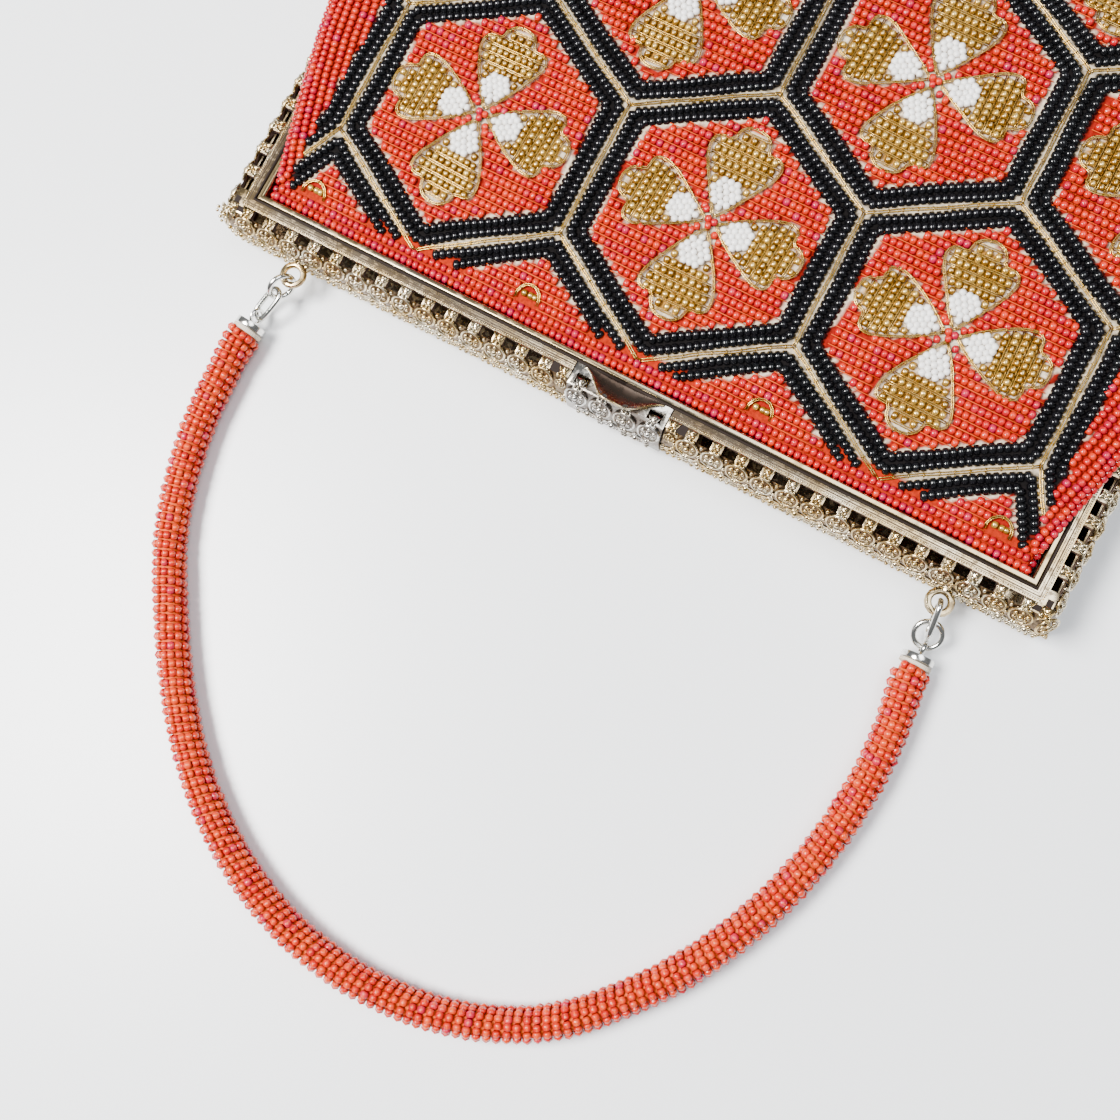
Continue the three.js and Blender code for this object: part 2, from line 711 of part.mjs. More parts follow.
// The ring of points of one section, from beside the middle of the back round to it again.
function sectionRing({ y, low, high, belly, under, round, squash }, inset) {
  const half = [];
  const add = (x, z) => half.push(new THREE.Vector3(x, y, z));
  const bottom = belly - (belly - inset) * squash;
  const topAt = (x) => belly + (panelHeight(x, y, high) - inset - belly) * squash;
  const tall = round === backRounding ? Math.min(round, under - bottom) : under - bottom;
  const edge = Math.min(mouthEdge + (high - mouthHalf + inset) * edgeGrowth, sideRounding);
  add((low - round) / 2, bottom);
  for (const a of backTurns) add(low - round + round * Math.sin(a), bottom + tall * (1 - Math.cos(a)));
  add(low, under);
  add(THREE.MathUtils.lerp(low, high, ledgeFlat), under);
  for (const a of edgeTurns) {
    const x = high - edge + edge * Math.cos(a);
    add(x, belly + (topAt(x) - belly) * Math.sin(a));
  }
  for (const share of panelShares) add((high - edge) * share, topAt((high - edge) * share));
  const mirrored = half.slice(0, -1).reverse();
  return [...half, ...mirrored.map((p) => new THREE.Vector3(-p.x, p.y, p.z))];
}

// The pouch: one skin from the bottom edge up the outside, over the mouth and down the inside.
function makePouch() {
  const outside = pouchSections(0).map((section) => sectionRing(section, 0));
  const inside = pouchSections(wall).map((section) => sectionRing(section, wall));
  const rings = [...outside.reverse(), ...inside];
  return loft(rings, facesOver(rings[0].map((p) => new THREE.Vector2(p.x, p.z))));
}

// Assembly

const finishes = {
  paleGold: { color: 0xc9b684, roughness: 0.35, metalness: 1 },
  polishedRim: { color: 0xb9b092, roughness: 0.2, metalness: 1 },
  wornSilver: { color: 0xb8b4ac, roughness: 0.3, metalness: 1 },
  steel: { color: 0xc4c4c2, roughness: 0.2, metalness: 1 },
  coralBeads: { color: 0xd8523c, roughness: 0.25, metalness: 0 },
};

const bag = new THREE.Group();

function place(name, geometry, finish) {
  const material = new THREE.MeshStandardMaterial(finishes[finish]);
  const mesh = new THREE.Mesh(geometryOf(solid(geometry)), material);
  mesh.name = name;
  bag.add(mesh);
}

place("bag_body", makePouch(), "coralBeads");
place("back_frame", makeBackFrame(), "paleGold");
place("front_rim", makeFrontRim(), "polishedRim");
place("clasp_lever", makeLever(), "wornSilver");
place("clasp_pin", makeClaspPin(), "steel");
for (const [name, sign] of [["left", -1], ["right", 1]]) {
  place(`hinge_rivet_${name}`, makeRivet(sign), "paleGold");
}
const chains = handleSides.map(chainOf);
handleSides.forEach(({ name, linkRoll, jumpRoll, loopRoll }, i) => {
  place(`handle_eye_${name}`, makeEye(chains[i]), "paleGold");
  place(`oval_link_${name}`, makeLink(chains[i], linkRoll), "steel");
  place(`jump_ring_${name}`, makeJumpRing(chains[i], jumpRoll), "steel");
  place(`end_cap_${name}`, makeCap(chains[i], loopRoll), "steel");
});
place("handle_rope", makeRope(chains), "coralBeads");

export default bag;
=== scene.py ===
import math
import random

import bmesh
import bpy
import numpy as np
from mathutils import Matrix, Vector
from mathutils.bvhtree import BVHTree


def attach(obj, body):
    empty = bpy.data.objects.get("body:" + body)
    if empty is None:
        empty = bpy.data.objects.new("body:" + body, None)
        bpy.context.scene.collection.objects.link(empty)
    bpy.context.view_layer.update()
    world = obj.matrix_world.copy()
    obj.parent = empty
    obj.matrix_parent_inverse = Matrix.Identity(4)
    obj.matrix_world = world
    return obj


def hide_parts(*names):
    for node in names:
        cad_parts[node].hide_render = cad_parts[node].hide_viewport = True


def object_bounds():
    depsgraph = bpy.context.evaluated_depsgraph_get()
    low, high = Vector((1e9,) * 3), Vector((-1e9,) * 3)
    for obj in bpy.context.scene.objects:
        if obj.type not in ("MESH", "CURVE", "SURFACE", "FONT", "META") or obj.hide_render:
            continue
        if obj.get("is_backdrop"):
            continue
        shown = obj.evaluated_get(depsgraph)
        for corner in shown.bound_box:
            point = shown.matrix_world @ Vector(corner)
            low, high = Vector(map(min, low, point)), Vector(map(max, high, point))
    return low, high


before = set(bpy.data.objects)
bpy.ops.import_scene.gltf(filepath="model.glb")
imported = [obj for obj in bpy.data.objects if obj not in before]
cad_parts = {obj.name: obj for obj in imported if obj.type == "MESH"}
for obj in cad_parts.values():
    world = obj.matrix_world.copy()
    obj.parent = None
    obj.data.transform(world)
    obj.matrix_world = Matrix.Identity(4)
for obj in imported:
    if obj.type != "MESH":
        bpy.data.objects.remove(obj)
cad_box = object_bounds()

# A beaded frame bag lying on its back. Lengths are in millimetres until a mesh is finished.
MM = 0.001
chance = random.Random(7)

# Camera, as worked out from the hexagons on the front panel
IMAGE_PIXELS = 1120
FOCAL_PIXELS = 1300
SENSOR = 36
CAMERA_PLACE = Vector((47.98, -125.81, 297.57))
CAMERA_RIGHT = Vector((0.87543, 0.4734, -0.09751))
CAMERA_DOWN = Vector((0.45995, -0.87793, -0.13297))

# Frame, as cast
PARTING_HALF = 98.45
PARTING_REACH = 64.15
ARM_END = -12
FRAME_DEPTH = 16.6
FRAME_WIDTH = 6.7
BAND_WIDTH = 2
SHOULDER_IN = 4.4
SHOULDER_DROP = 5.2
PITCH = 6.13
LEVER_HALF = 12
LEVER_PROUD = 0.9
MOUTH = -61.7

# Beads
BEAD_ACROSS = 2.0
BEAD_LONG = 1.5
CORAL_STEP = 1.56
BLACK_STEP = 1.6
BLACK_ACROSS = 2.66
GOLD_STEP = 1.5
ROW_PITCH = 2.12
FLAT_END = 50  # below this y the panel curves down to the bottom edge

# Hexagon lattice of the front panel
HEX_WIDTH = 58
HEX_SIDE = HEX_WIDTH / math.sqrt(3)
LATTICE_TOP = -24
VERTEX_RISE = 0.9  # the topmost corners of the lattice stand this much nearer the frame
ROW_OFFSETS = (1.88, 4.35)
GROUND_MARGIN = 5.8
FIRST_ROW = -61.15
PATTERN_TOP = -58.9


# Solids and meshes

def finished(name, mesh, material, body="bag", smooth=True):
    """A piece in metres from a mesh in millimetres, riding on its body."""
    mesh.transform(Matrix.Scale(MM, 4))
    mesh.materials.clear()
    mesh.materials.append(material)
    if smooth:
        mesh.shade_smooth()
    piece = bpy.data.objects.new(name, mesh)
    bpy.context.scene.collection.objects.link(piece)
    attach(piece, body)
    return piece


def mesh_of(bm, name):
    mesh = bpy.data.meshes.new(name)
    bm.to_mesh(mesh)
    bm.free()
    return mesh


def joined(name, points, faces, **layers):
    """One mesh from arrays of points and triangles, with a value in each layer for each point."""
    mesh = bpy.data.meshes.new(name)
    mesh.vertices.add(len(points))
    mesh.vertices.foreach_set("co", np.asarray(points, np.float32).ravel())
    mesh.loops.add(faces.size)
    mesh.loops.foreach_set("vertex_index", faces.astype(np.int32).ravel())
    mesh.polygons.add(len(faces))
    mesh.polygons.foreach_set("loop_start", np.arange(0, faces.size, 3, dtype=np.int32))
    mesh.update(calc_edges=True)
    mesh.validate()
    for label, values in layers.items():
        values = np.asarray(values, np.float32)
        layer = mesh.attributes.new(label, "FLOAT_COLOR" if values.ndim == 2 else "FLOAT", "POINT")
        layer.data.foreach_set("color" if values.ndim == 2 else "value", values.ravel())
    return mesh


def shape_arrays(bm):
    bmesh.ops.triangulate(bm, faces=bm.faces[:])
    points = np.array([v.co for v in bm.verts])
    faces = np.array([[v.index for v in f.verts] for f in bm.faces])
    bm.free()
    return points, faces


# Rings of a seed bead of unit size, from its upper end to its lower: height and radius
ROUND_RINGS = ((0.5, 0.3), (0.25, 0.49), (-0.25, 0.49), (-0.5, 0.3))
PLAIN_RINGS = ((0.38, 0.45), (-0.38, 0.45))
HOLE_DEPTH = 0.08


def bead_shape(rings, around):
    """A seed bead of unit size: axis Z, rounded, with its ends drawn in round the hole."""
    turns = math.pi / 2 + np.arange(around) * 2 * math.pi / around
    points = [(0, 0, rings[0][0] - HOLE_DEPTH)]
    for z, radius in rings:
        points += [(radius * math.cos(t), radius * math.sin(t), z) for t in turns]
    points.append((0, 0, rings[-1][0] + HOLE_DEPTH))
    end = len(points) - 1
    last = end - around
    faces = []
    for j in range(around):
        k = (j + 1) % around
        faces += [(0, 1 + j, 1 + k), (end, last + k, last + j)]
        for i in range(len(rings) - 1):
            a, b = 1 + i * around + j, 1 + i * around + k
            faces += [(a, a + around, b + around), (a, b + around, b)]
    return np.array(points), np.array(faces)


def strewn(name, shape, places):
    """Copies of a shape, one for each place: centre, its Z axis, its up axis, sizes and tone."""
    points, faces = shape
    centres, along, up, sizes, tones = (np.array([p[k] for p in places], float) for k in range(5))
    along /= np.linalg.norm(along, axis=1)[:, None]
    side = np.cross(up, along)
    side /= np.linalg.norm(side, axis=1)[:, None]
    up = np.cross(along, side)
    turned = (
        points[None, :, 0, None] * (side * sizes[:, :1])[:, None]
        + points[None, :, 1, None] * (up * sizes[:, :1])[:, None]
        + points[None, :, 2, None] * (along * sizes[:, 1:2])[:, None]
    )
    every_point = (centres[:, None] + turned).reshape(-1, 3)
    steps = np.arange(len(places))[:, None, None] * len(points)
    every_face = (faces[None] + steps).reshape(-1, 3)
    # rise: how high each point stands on its bead; the bead materials paint shade low on a bead and a highlight on its
    # top from it
    rise = np.tile(points[:, 1] * 2, len(places))
    return joined(name, every_point, every_face, tone=np.repeat(tones, len(points)), rise=rise)


def tube_arrays(lines, radius, sides=5):
    """Thin round strands along lines of points, closed at their ends."""
    every_point = []
    every_face = []
    start = 0
    turns = np.arange(sides) * 2 * math.pi / sides
    ring = np.stack([np.cos(turns), np.sin(turns)], 1) * radius
    for line in lines:
        line = np.asarray(line, float)
        heading = np.gradient(line, axis=0)
        heading /= np.linalg.norm(heading, axis=1)[:, None]
        lift = np.tile([0.013, 0.021, 1.0], (len(line), 1))
        side = np.cross(lift, heading)
        side /= np.linalg.norm(side, axis=1)[:, None]
        over = np.cross(heading, side)
        rings = line[:, None] + ring[None, :, :1] * side[:, None] + ring[None, :, 1:] * over[:, None]
        count = len(line)
        every_point.append(rings.reshape(-1, 3))
        i = np.arange(count - 1)[:, None] * sides
        j = np.arange(sides)[None]
        k = (j + 1) % sides
        a, b, c, d = i + j, i + k, i + sides + k, i + sides + j
        skin = np.concatenate([np.stack([a, b, c], -1).reshape(-1, 3), np.stack([a, c, d], -1).reshape(-1, 3)])
        fan = np.array([[0, m + 1, m] for m in range(1, sides - 1)])
        last = (count - 1) * sides
        ends = np.concatenate([fan, fan[:, ::-1] + last])
        every_face.append(np.concatenate([skin, ends]) + start)
        start += count * sides
    return np.concatenate(every_point), np.concatenate(every_face)


def tubes(name, lines, radius, sides=5):
    return joined(name, *tube_arrays(lines, radius, sides))


def closed_sheet(top, under):
    """Points and triangles of a thin closed sheet between two grids of points."""
    rows, columns = top.shape[:2]
    shift = rows * columns
    number = np.arange(shift).reshape(rows, columns)
    a, b, c, d = number[:-1, :-1], number[:-1, 1:], number[1:, 1:], number[1:, :-1]
    upper = np.concatenate([np.stack([a, b, c], -1).reshape(-1, 3), np.stack([a, c, d], -1).reshape(-1, 3)])
    rim = np.concatenate([number[0], number[1:, -1], number[-1, -2::-1], number[-2:0:-1, 0]])
    after = np.roll(rim, -1)
    walls = np.concatenate([
        np.stack([rim, rim + shift, after + shift], -1), np.stack([rim, after + shift, after], -1)
    ])
    points = np.concatenate([top.reshape(-1, 3), under.reshape(-1, 3)])
    return points, np.concatenate([upper, upper[:, ::-1] + shift, walls])


# The cloth of the pouch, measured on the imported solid

SLIVER = 0.4  # a face smaller than this says nothing about its side


def outer_skin():
    """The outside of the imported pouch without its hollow."""
    bm = bmesh.new()
    bm.from_mesh(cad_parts["bag_body"].data)
    bmesh.ops.scale(bm, vec=(1 / MM, 1 / MM, 1 / MM), verts=bm.verts)
    bmesh.ops.remove_doubles(bm, verts=bm.verts, dist=0.001)
    bm.normal_update()
    tree = BVHTree.FromBMesh(bm)
    inner = []
    for face in bm.faces:
        away = tree.ray_cast(face.calc_center_median() + face.normal * 0.01, face.normal)[3]
        sliver = face.calc_area() < SLIVER
        if face.normal.y < -0.9 or (away is not None and away > 0.5 and not sliver):
            inner.append(face)
    bmesh.ops.delete(bm, geom=inner, context="FACES")
    return bm


SLIT = 5  # a line goes on across a gap in the skin that is shorter than this


def chain_through(bm, point, normal, axis=2, sign=1):
    """The line in which a plane cuts a half skin, from its end that is furthest along an axis."""
    cut = bm.copy()
    everything = cut.verts[:] + cut.edges[:] + cut.faces[:]
    made = bmesh.ops.bisect_plane(cut, geom=everything, dist=1e-5, plane_co=point, plane_no=normal)
    edges = [g for g in made["geom_cut"] if isinstance(g, bmesh.types.BMEdge)]
    beside = {}
    for edge in edges:
        a, b = edge.verts
        beside.setdefault(a, []).append(b)
        beside.setdefault(b, []).append(a)
    ends = [v for v, near in beside.items() if len(near) == 1]
    here = max(ends, key=lambda v: sign * v.co[axis])
    left = dict.fromkeys(beside)
    line = []
    while here is not None:
        line.append(here.co.copy())
        del left[here]
        onward = [v for v in beside[here] if v in left]
        if not onward:
            across = [v for v in left if len(beside[v]) == 1 and (v.co - here.co).length < SLIT]
            onward = sorted(across, key=lambda v: (v.co - here.co).length)
        here = onward[0] if onward else None
    cut.free()
    return np.array(line)


def run_along(line):
    return np.concatenate([[0], np.cumsum(np.linalg.norm(np.diff(line, axis=0), axis=1))])


def measured_cloth(skin):
    """Stations down the front and the back. Each holds y and the line round one side."""
    half = skin.copy()
    everything = half.verts[:] + half.edges[:] + half.faces[:]
    bmesh.ops.bisect_plane(
        half, geom=everything, dist=1e-5, plane_co=(0, 0, 0), plane_no=(1, 0, 0), clear_inner=True
    )
    profile = chain_through(half, (0.02, 0, 0), (1, 0, 0))
    lowest = profile[:, 1].max() - 0.03
    faces = {}
    for face, part in (("front", profile), ("back", profile[::-1])):
        part = part[: int(np.argmax(part[:, 1] > lowest)) + 1]
        run = run_along(part)
        run += FLAT_END - np.interp(FLAT_END, part[:, 1], run)
        stations = []
        vs = list(np.arange(MOUTH + 0.1, FLAT_END, 1.5)) + list(np.linspace(FLAT_END, run[-1] - 0.05, 18))
        for v in vs:
            y = v if v < FLAT_END else float(np.interp(v, run, part[:, 1]))
            line = chain_through(half, (0, y, 0), (0, 1, 0))
            if face == "back":
                line = line[::-1]
            if line[0][0] > 1:
                break
            far = run_along(line)
            stations.append({"v": v, "run": far, "line": line, "reach": far[int(np.argmax(line[:, 0]))]})
        faces[face] = {"v": np.array(vs[: len(stations)]), "stations": stations, "end": vs[len(stations) - 1]}
    faces["profile"] = profile
    faces["half"] = half
    return faces


def on_cloth(cloth, face, u, v):
    """The point of the cloth u millimetres from its middle line and v down it."""
    part = cloth[face]
    i = int(np.clip(np.searchsorted(part["v"], v) - 1, 0, len(part["v"]) - 2))
    share = (v - part["v"][i]) / (part["v"][i + 1] - part["v"][i])
    found = []
    for station in part["stations"][i : i + 2]:
        found.append([np.interp(abs(u), station["run"], station["line"][:, axis]) for axis in range(3)])
    point = (1 - share) * np.array(found[0]) + share * np.array(found[1])
    point[0] *= math.copysign(1, u)
    return point


def reach(cloth, face, v):
    part = cloth[face]
    return float(np.interp(v, part["v"], [s["reach"] for s in part["stations"]]))


def bead_on(cloth, face, u, v, heading, tone, across=BEAD_ACROSS, long=BEAD_LONG, sink=0.0):
    """The place of a bead on the cloth, threaded along a heading in the cloth's own directions."""
    step = 0.35
    right = on_cloth(cloth, face, u + step, v) - on_cloth(cloth, face, u - step, v)
    down = on_cloth(cloth, face, u, v + step) - on_cloth(cloth, face, u, v - step)
    out = np.cross(right, down)
    if face == "back":
        out = -out
    out /= max(np.linalg.norm(out), 1e-9)
    along = right * heading[0] + down * heading[1]
    centre = on_cloth(cloth, face, u, v) - out * (across / 2 + sink)
    size = 1 + chance.uniform(-0.05, 0.05)
    return centre, along, out, (across * size, long * size), tone


def even_rows(cloth, face, start):
    """Rows down the cloth whose beads stand equally far apart, on its slopes too."""
    fine = np.arange(start, cloth[face]["end"] - 0.5, 0.1)
    far = run_along(np.array([bead_on(cloth, face, 0.02, v, (1, 0), 0)[0] for v in fine]))
    return np.interp(np.arange(0, far[-1], ROW_PITCH), far, fine)


# The pattern of the front panel, in the cloth's own directions

def lattice_cells():
    cells = []
    for row in range(-1, 3):
        for column in range(-3, 4):
            x = (column + 0.5 * (row % 2)) * HEX_WIDTH
            y = LATTICE_TOP + row * 1.5 * HEX_SIDE
            cells.append((x, y))
    return cells


# Where the lattice meets the columns at the sides, its last cords turn towards the frame
TURNED_VERTEX = (101.7, -67.1)


def cell_outline(x, y):
    corners = []
    for turn in range(6):
        angle = math.radians(60 * turn - 90)
        corner = [x + HEX_SIDE * math.cos(angle), y + HEX_SIDE * math.sin(angle)]
        if abs(abs(corner[0]) - 2 * HEX_WIDTH) < 1 and abs(corner[1] - (LATTICE_TOP - HEX_SIDE)) < 1:
            corner = [math.copysign(TURNED_VERTEX[0], corner[0]), TURNED_VERTEX[1]]
        elif abs(corner[1] - (LATTICE_TOP - HEX_SIDE)) < 1:
            corner[1] -= VERTEX_RISE
        corners.append(corner)
    return np.array(corners)


def inset(outline, distance):
    """The outline drawn in by a distance, with mitred corners. It runs anticlockwise."""
    count = len(outline)
    moved = []
    for i in range(count):
        a, b, c = outline[i - 1], outline[i], outline[(i + 1) % count]
        first = (b - a) / np.linalg.norm(b - a)
        second = (c - b) / np.linalg.norm(c - b)
        inward = np.array([-first[1] - second[1], first[0] + second[0]])
        inward /= np.linalg.norm(inward)
        moved.append(b + inward * distance / (inward @ np.array([-first[1], first[0]])))
    return np.array(moved)


def inside(outline, x, y):
    """Which of the points lie in the outline."""
    found = np.zeros(np.shape(x), bool)
    a = outline[-1]
    for b in outline:
        crosses = (a[1] > y) != (b[1] > y)
        with np.errstate(divide="ignore", invalid="ignore"):
            at = (b[0] - a[0]) * (y - a[1]) / (b[1] - a[1]) + a[0]
        found ^= crosses & (x < at)
        a = b
    return found


def side_border(v):
    """Half of the width between the columns of beads that run down the sides."""
    return float(np.interp(v, [MOUTH, -8, 12], [92.6, 92.6, 101]))


# Half of a petal's outline: how far out from the flower's centre, and half of the width there
PETAL = (
    (1.6, 0.25), (3.4, 1.5), (6.5, 3.6), (10, 5.7), (13.6, 7.6), (16.4, 8.35), (18.2, 8.0),
    (19.0, 6.6), (18.9, 5.0), (19.4, 4.1), (21.3, 3.7), (22.6, 2.4), (23.1, 0.9),
)


def smooth_closed(points, step):
    """A closed curve through the points, in steps of about the same length."""
    points = np.asarray(points, float)
    count = len(points)
    curve = []
    for i in range(count):
        p = [points[(i + k) % count] for k in (-1, 0, 1, 2)]
        parts = max(2, int(round(np.linalg.norm(p[2] - p[1]) / step)))
        for j in range(parts):
            t = j / parts
            curve.append(
                0.5 * (2 * p[1] + (p[2] - p[0]) * t + (2 * p[0] - 5 * p[1] + 4 * p[2] - p[3]) * t**2
                       + (3 * p[1] - p[0] - 3 * p[2] + p[3]) * t**3)
            )
    return np.array(curve)


def petal_outline(grow=0.0):
    side = [(a, b + grow) for a, b in PETAL]
    return np.array(side + [(a, -b) for a, b in reversed(side)])


def petal_width(a):
    widest = [(p, w) for p, w in PETAL if p <= 18.2] + [(19.2, 4.1), (21.3, 3.7), (22.6, 2.4), (23.1, 0.4)]
    return float(np.interp(a, [p for p, _ in widest], [w for _, w in widest]))


LAST_FLOWER = 66  # the bottom edge cuts the flowers beyond this, and their upper petal alone shows


def flowers():
    made = []
    for x, y in lattice_cells():
        if LATTICE_TOP - 1 < y < 80 and abs(x) < 90:
            petals = []
            for quarter in range(4):
                angle = math.radians(90 * quarter + chance.uniform(-3, 3))
                scale = 1 + chance.uniform(-0.04, 0.03)
                if y < LAST_FLOWER or quarter == 3:
                    petals.append((angle, scale))
            made.append((x + chance.uniform(-0.4, 0.4), y + chance.uniform(-0.4, 0.4), petals))
    return made


def petal_place(flower, angle, scale, a, b):
    x, y, _ = flower
    c, s = math.cos(angle), math.sin(angle)
    return x + scale * (a * c - b * s), y + scale * (a * s + b * c)


def placed_outline(flower, angle, scale, grow=0.0):
    return np.array([petal_place(flower, angle, scale, a + (grow if a > 22 else 0), b) for a, b in petal_outline(grow)])


ARC_MIDDLES = ((-85.8, -57), (-29, -57), (29, -57), (85.4, -57))
ARC_HALF = 2.9
ARC_RISE = 3.1


def arc_line(x, y):
    return np.array([[x + ARC_HALF * math.cos(t), y + ARC_RISE * math.sin(t)] for t in np.linspace(-0.2, math.pi + 0.2, 15)])


def in_pattern(cloth, u, v):
    return v > PATTERN_TOP and abs(u) < min(side_border(v), reach(cloth, "front", v) - 4)


def black_rows(cloth):
    places = []
    for cell in lattice_cells():
        outline = cell_outline(*cell)
        for offset in ROW_OFFSETS:
            ring = inset(outline, offset)
            for a, b in zip(ring, np.roll(ring, -1, axis=0)):
                length = np.linalg.norm(b - a)
                count = max(1, int(round(length / BLACK_STEP)))
                heading = (b - a) / length
                wave = chance.uniform(0, 6.3)
                for i in range(count):
                    t = (i + 0.5) / count
                    u, v = a + (b - a) * t
                    bend = 0.16 * math.sin(wave + 7 * t)
                    u, v = u - heading[1] * bend, v + heading[0] * bend
                    if in_pattern(cloth, u, v - 0.9) and v < cloth["front"]["end"] - 0.8:
                        places.append(bead_on(cloth, "front", u, v, heading, chance.random(), BLACK_ACROSS, 1.62))
    return places


def filled_rows(cloth, blossoms):
    """Rows of coral beads between the bands and round the flowers, with their threads."""
    beads = []
    threads = []
    step = 0.25
    grounds = [inset(cell_outline(*cell), GROUND_MARGIN) for cell in lattice_cells()]
    kept_clear = [arc_line(x, y) for x, y in ARC_MIDDLES]
    turns = np.linspace(0, 2 * math.pi, 13)[:-1]
    for flower in blossoms:
        middle = np.array(flower[:2])
        kept_clear.append(middle + HEART_CLEAR * np.stack([np.cos(turns), np.sin(turns)], 1))
        for angle, scale in flower[2]:
            kept_clear.append(placed_outline(flower, angle, scale, 0.5))
    for v in even_rows(cloth, "front", FIRST_ROW)[2:]:
        limit = min(side_border(v) - 0.5, reach(cloth, "front", v) - 4.2)
        us = np.arange(-limit, limit, step)
        vs = np.full(len(us), v)
        free = np.zeros(len(us), bool)
        for ground in grounds:
            free |= inside(ground, us, vs)
        for outline in kept_clear:
            if abs(outline[:, 1] - v).min() < 12:
                free &= ~inside(outline, us, vs)
        edges = np.flatnonzero(np.diff(np.concatenate([[0], free.astype(int), [0]])))
        for first, last in edges.reshape(-1, 2):
            span = (last - first) * step
            count = int(span / CORAL_STEP)
            if count < 1:
                continue
            start = us[first] + (span - count * CORAL_STEP) * chance.uniform(0.2, 0.8)
            slope = chance.uniform(-0.012, 0.012)
            middle = start + count * CORAL_STEP / 2
            for i in range(count):
                u = start + (i + 0.5) * CORAL_STEP + chance.uniform(-0.05, 0.05)
                w = v + slope * (u - middle) + chance.uniform(-0.07, 0.07)
                tone = chance.gauss(0.48, 0.22)
                beads.append(bead_on(cloth, "front", u, w, (1, 0), tone, 2.0, 1.54))
            for side in (-0.5, 0.5):
                ends = np.linspace(start - 0.4, start + count * CORAL_STEP + 0.4, max(3, int(count / 4)))
                line = [bead_on(cloth, "front", u, v + side * ROW_PITCH, (1, 0), 0, 1.9, sink=-0.1)[0] for u in ends]
                threads.append(line)
    return beads, threads


def border_beads(cloth):
    """The rows along the frame, and the columns that follow the edges of the sides."""
    beads = []
    for number, v in enumerate(even_rows(cloth, "front", FIRST_ROW)[:2]):
        limit = 95.4 - number * ROW_PITCH
        count = int(round(2 * limit / CORAL_STEP))
        for i in range(count + 1):
            u = -limit + 2 * limit * i / count
            tone = chance.gauss(0.3, 0.22)
            w = v + 0.1 * math.sin(u / 9 + number)
            beads.append(bead_on(cloth, "front", u, w, (1, 0), tone, 2.0, 1.5))
    last = cloth["front"]["end"] - 1
    for column in range(10):
        v = MOUTH + 2.4 + column * ROW_PITCH if column < 2 else MOUTH + 4
        while v < last:
            ahead = v + 0.4
            far, onward = (reach(cloth, "front", at) - 0.75 - column * ROW_PITCH for at in (v, ahead))
            if far > min(side_border(v), reach(cloth, "front", v) - 4) - 0.35:
                for sign in (-1, 1):
                    tone = chance.gauss(0.32 + 0.05 * column, 0.22)
                    u = sign * (far + chance.uniform(-0.06, 0.06))
                    heading = (sign * (onward - far), ahead - v)
                    beads.append(bead_on(cloth, "front", u, v, heading, tone, 2.0, 1.5))
            moved_on = on_cloth(cloth, "front", onward, ahead) - on_cloth(cloth, "front", far, v)
            v += CORAL_STEP * (ahead - v) / np.linalg.norm(moved_on)
    return beads


def back_beads(cloth):
    """Plain rows round the sides below the frame and across the back."""
    beads = []
    for v in even_rows(cloth, "back", MOUTH + 1.2):
        limit = reach(cloth, "back", v) - 0.9 if v > ARM_END + 1.4 else 95
        count = max(1, int(round(2 * limit / CORAL_STEP)))
        for i in range(count + 1):
            u = -limit + 2 * limit * i / count
            beads.append(bead_on(cloth, "back", u, v, (1, 0), chance.gauss(0.45, 0.18), 2.0, 1.5))
    return beads


BOTTOM_HALF = 91  # how far the bottom edge runs to each side before its corners
WIDEST_HEIGHT = 12  # the pouch is widest here, where the columns of the front end
BACK_HEIGHT = 2.6  # the flattened back ends below this


def bottom_beads(cloth, front_last, back_last):
    """The rows round the bottom edge, between the last rows of the front and of the back."""
    far = run_along(cloth["profile"])
    fine = np.arange(0, far[-1], 0.1)
    path = np.stack([np.interp(fine, far, cloth["profile"][:, axis]) for axis in range(3)], 1)
    lean = np.gradient(path, axis=0)
    soft = np.ones(21) / 21
    out = np.stack([0 * fine, np.convolve(-lean[:, 2], soft, "same"), np.convolve(lean[:, 1], soft, "same")], 1)
    out /= np.linalg.norm(out, axis=1)[:, None]
    path -= out * BEAD_ACROSS / 2
    ends = []
    for face, v in (("front", front_last), ("back", back_last)):
        beside = bead_on(cloth, face, 0.02, v, (1, 0), 0)[0]
        ends.append(int(np.argmin(np.linalg.norm(path - beside, axis=1))))
    stop = path[ends[1], 1] + 1
    previous = path[ends[0]]
    beads = []
    for i in range(*ends):
        apart = [np.linalg.norm(path[i] - other) for other in (previous, path[ends[1]])]
        if apart[0] < 0.94 * ROW_PITCH or apart[1] < 0.8 * ROW_PITCH:
            continue
        previous = path[i]
        place = path[i] + out[i] * BEAD_ACROSS / 2
        line = np.array([place, place + np.array([BOTTOM_HALF, 0, 0])])
        limit = BOTTOM_HALF
        if BACK_HEIGHT < place[2] < WIDEST_HEIGHT:
            line = chain_through(cloth["half"], (0, 0, place[2]), (0, 0, 1), axis=0, sign=-1)
            limit = run_along(line)[int(np.argmax(line[:, 1] < stop))]
        run = run_along(line)
        for u in np.arange(CORAL_STEP / 2, limit, CORAL_STEP):
            point, before, after = (
                np.array([np.interp(at, run, line[:, axis]) for axis in range(3)]) for at in (u, u - 0.7, u + 0.7)
            )
            along = (after - before) / np.linalg.norm(after - before)
            lean = np.array([-along[1] * out[i, 1], along[0] * out[i, 1], out[i, 2]])
            centre = point - lean * BEAD_ACROSS / 2
            for mirror in (np.array([1.0, 1, 1]), np.array([-1.0, 1, 1])):
                size = 1 + chance.uniform(-0.05, 0.05)
                size = (BEAD_ACROSS * size, BEAD_LONG * size)
                beads.append((centre * mirror, along * mirror, lean * mirror, size, chance.gauss(0.45, 0.2)))
    return beads


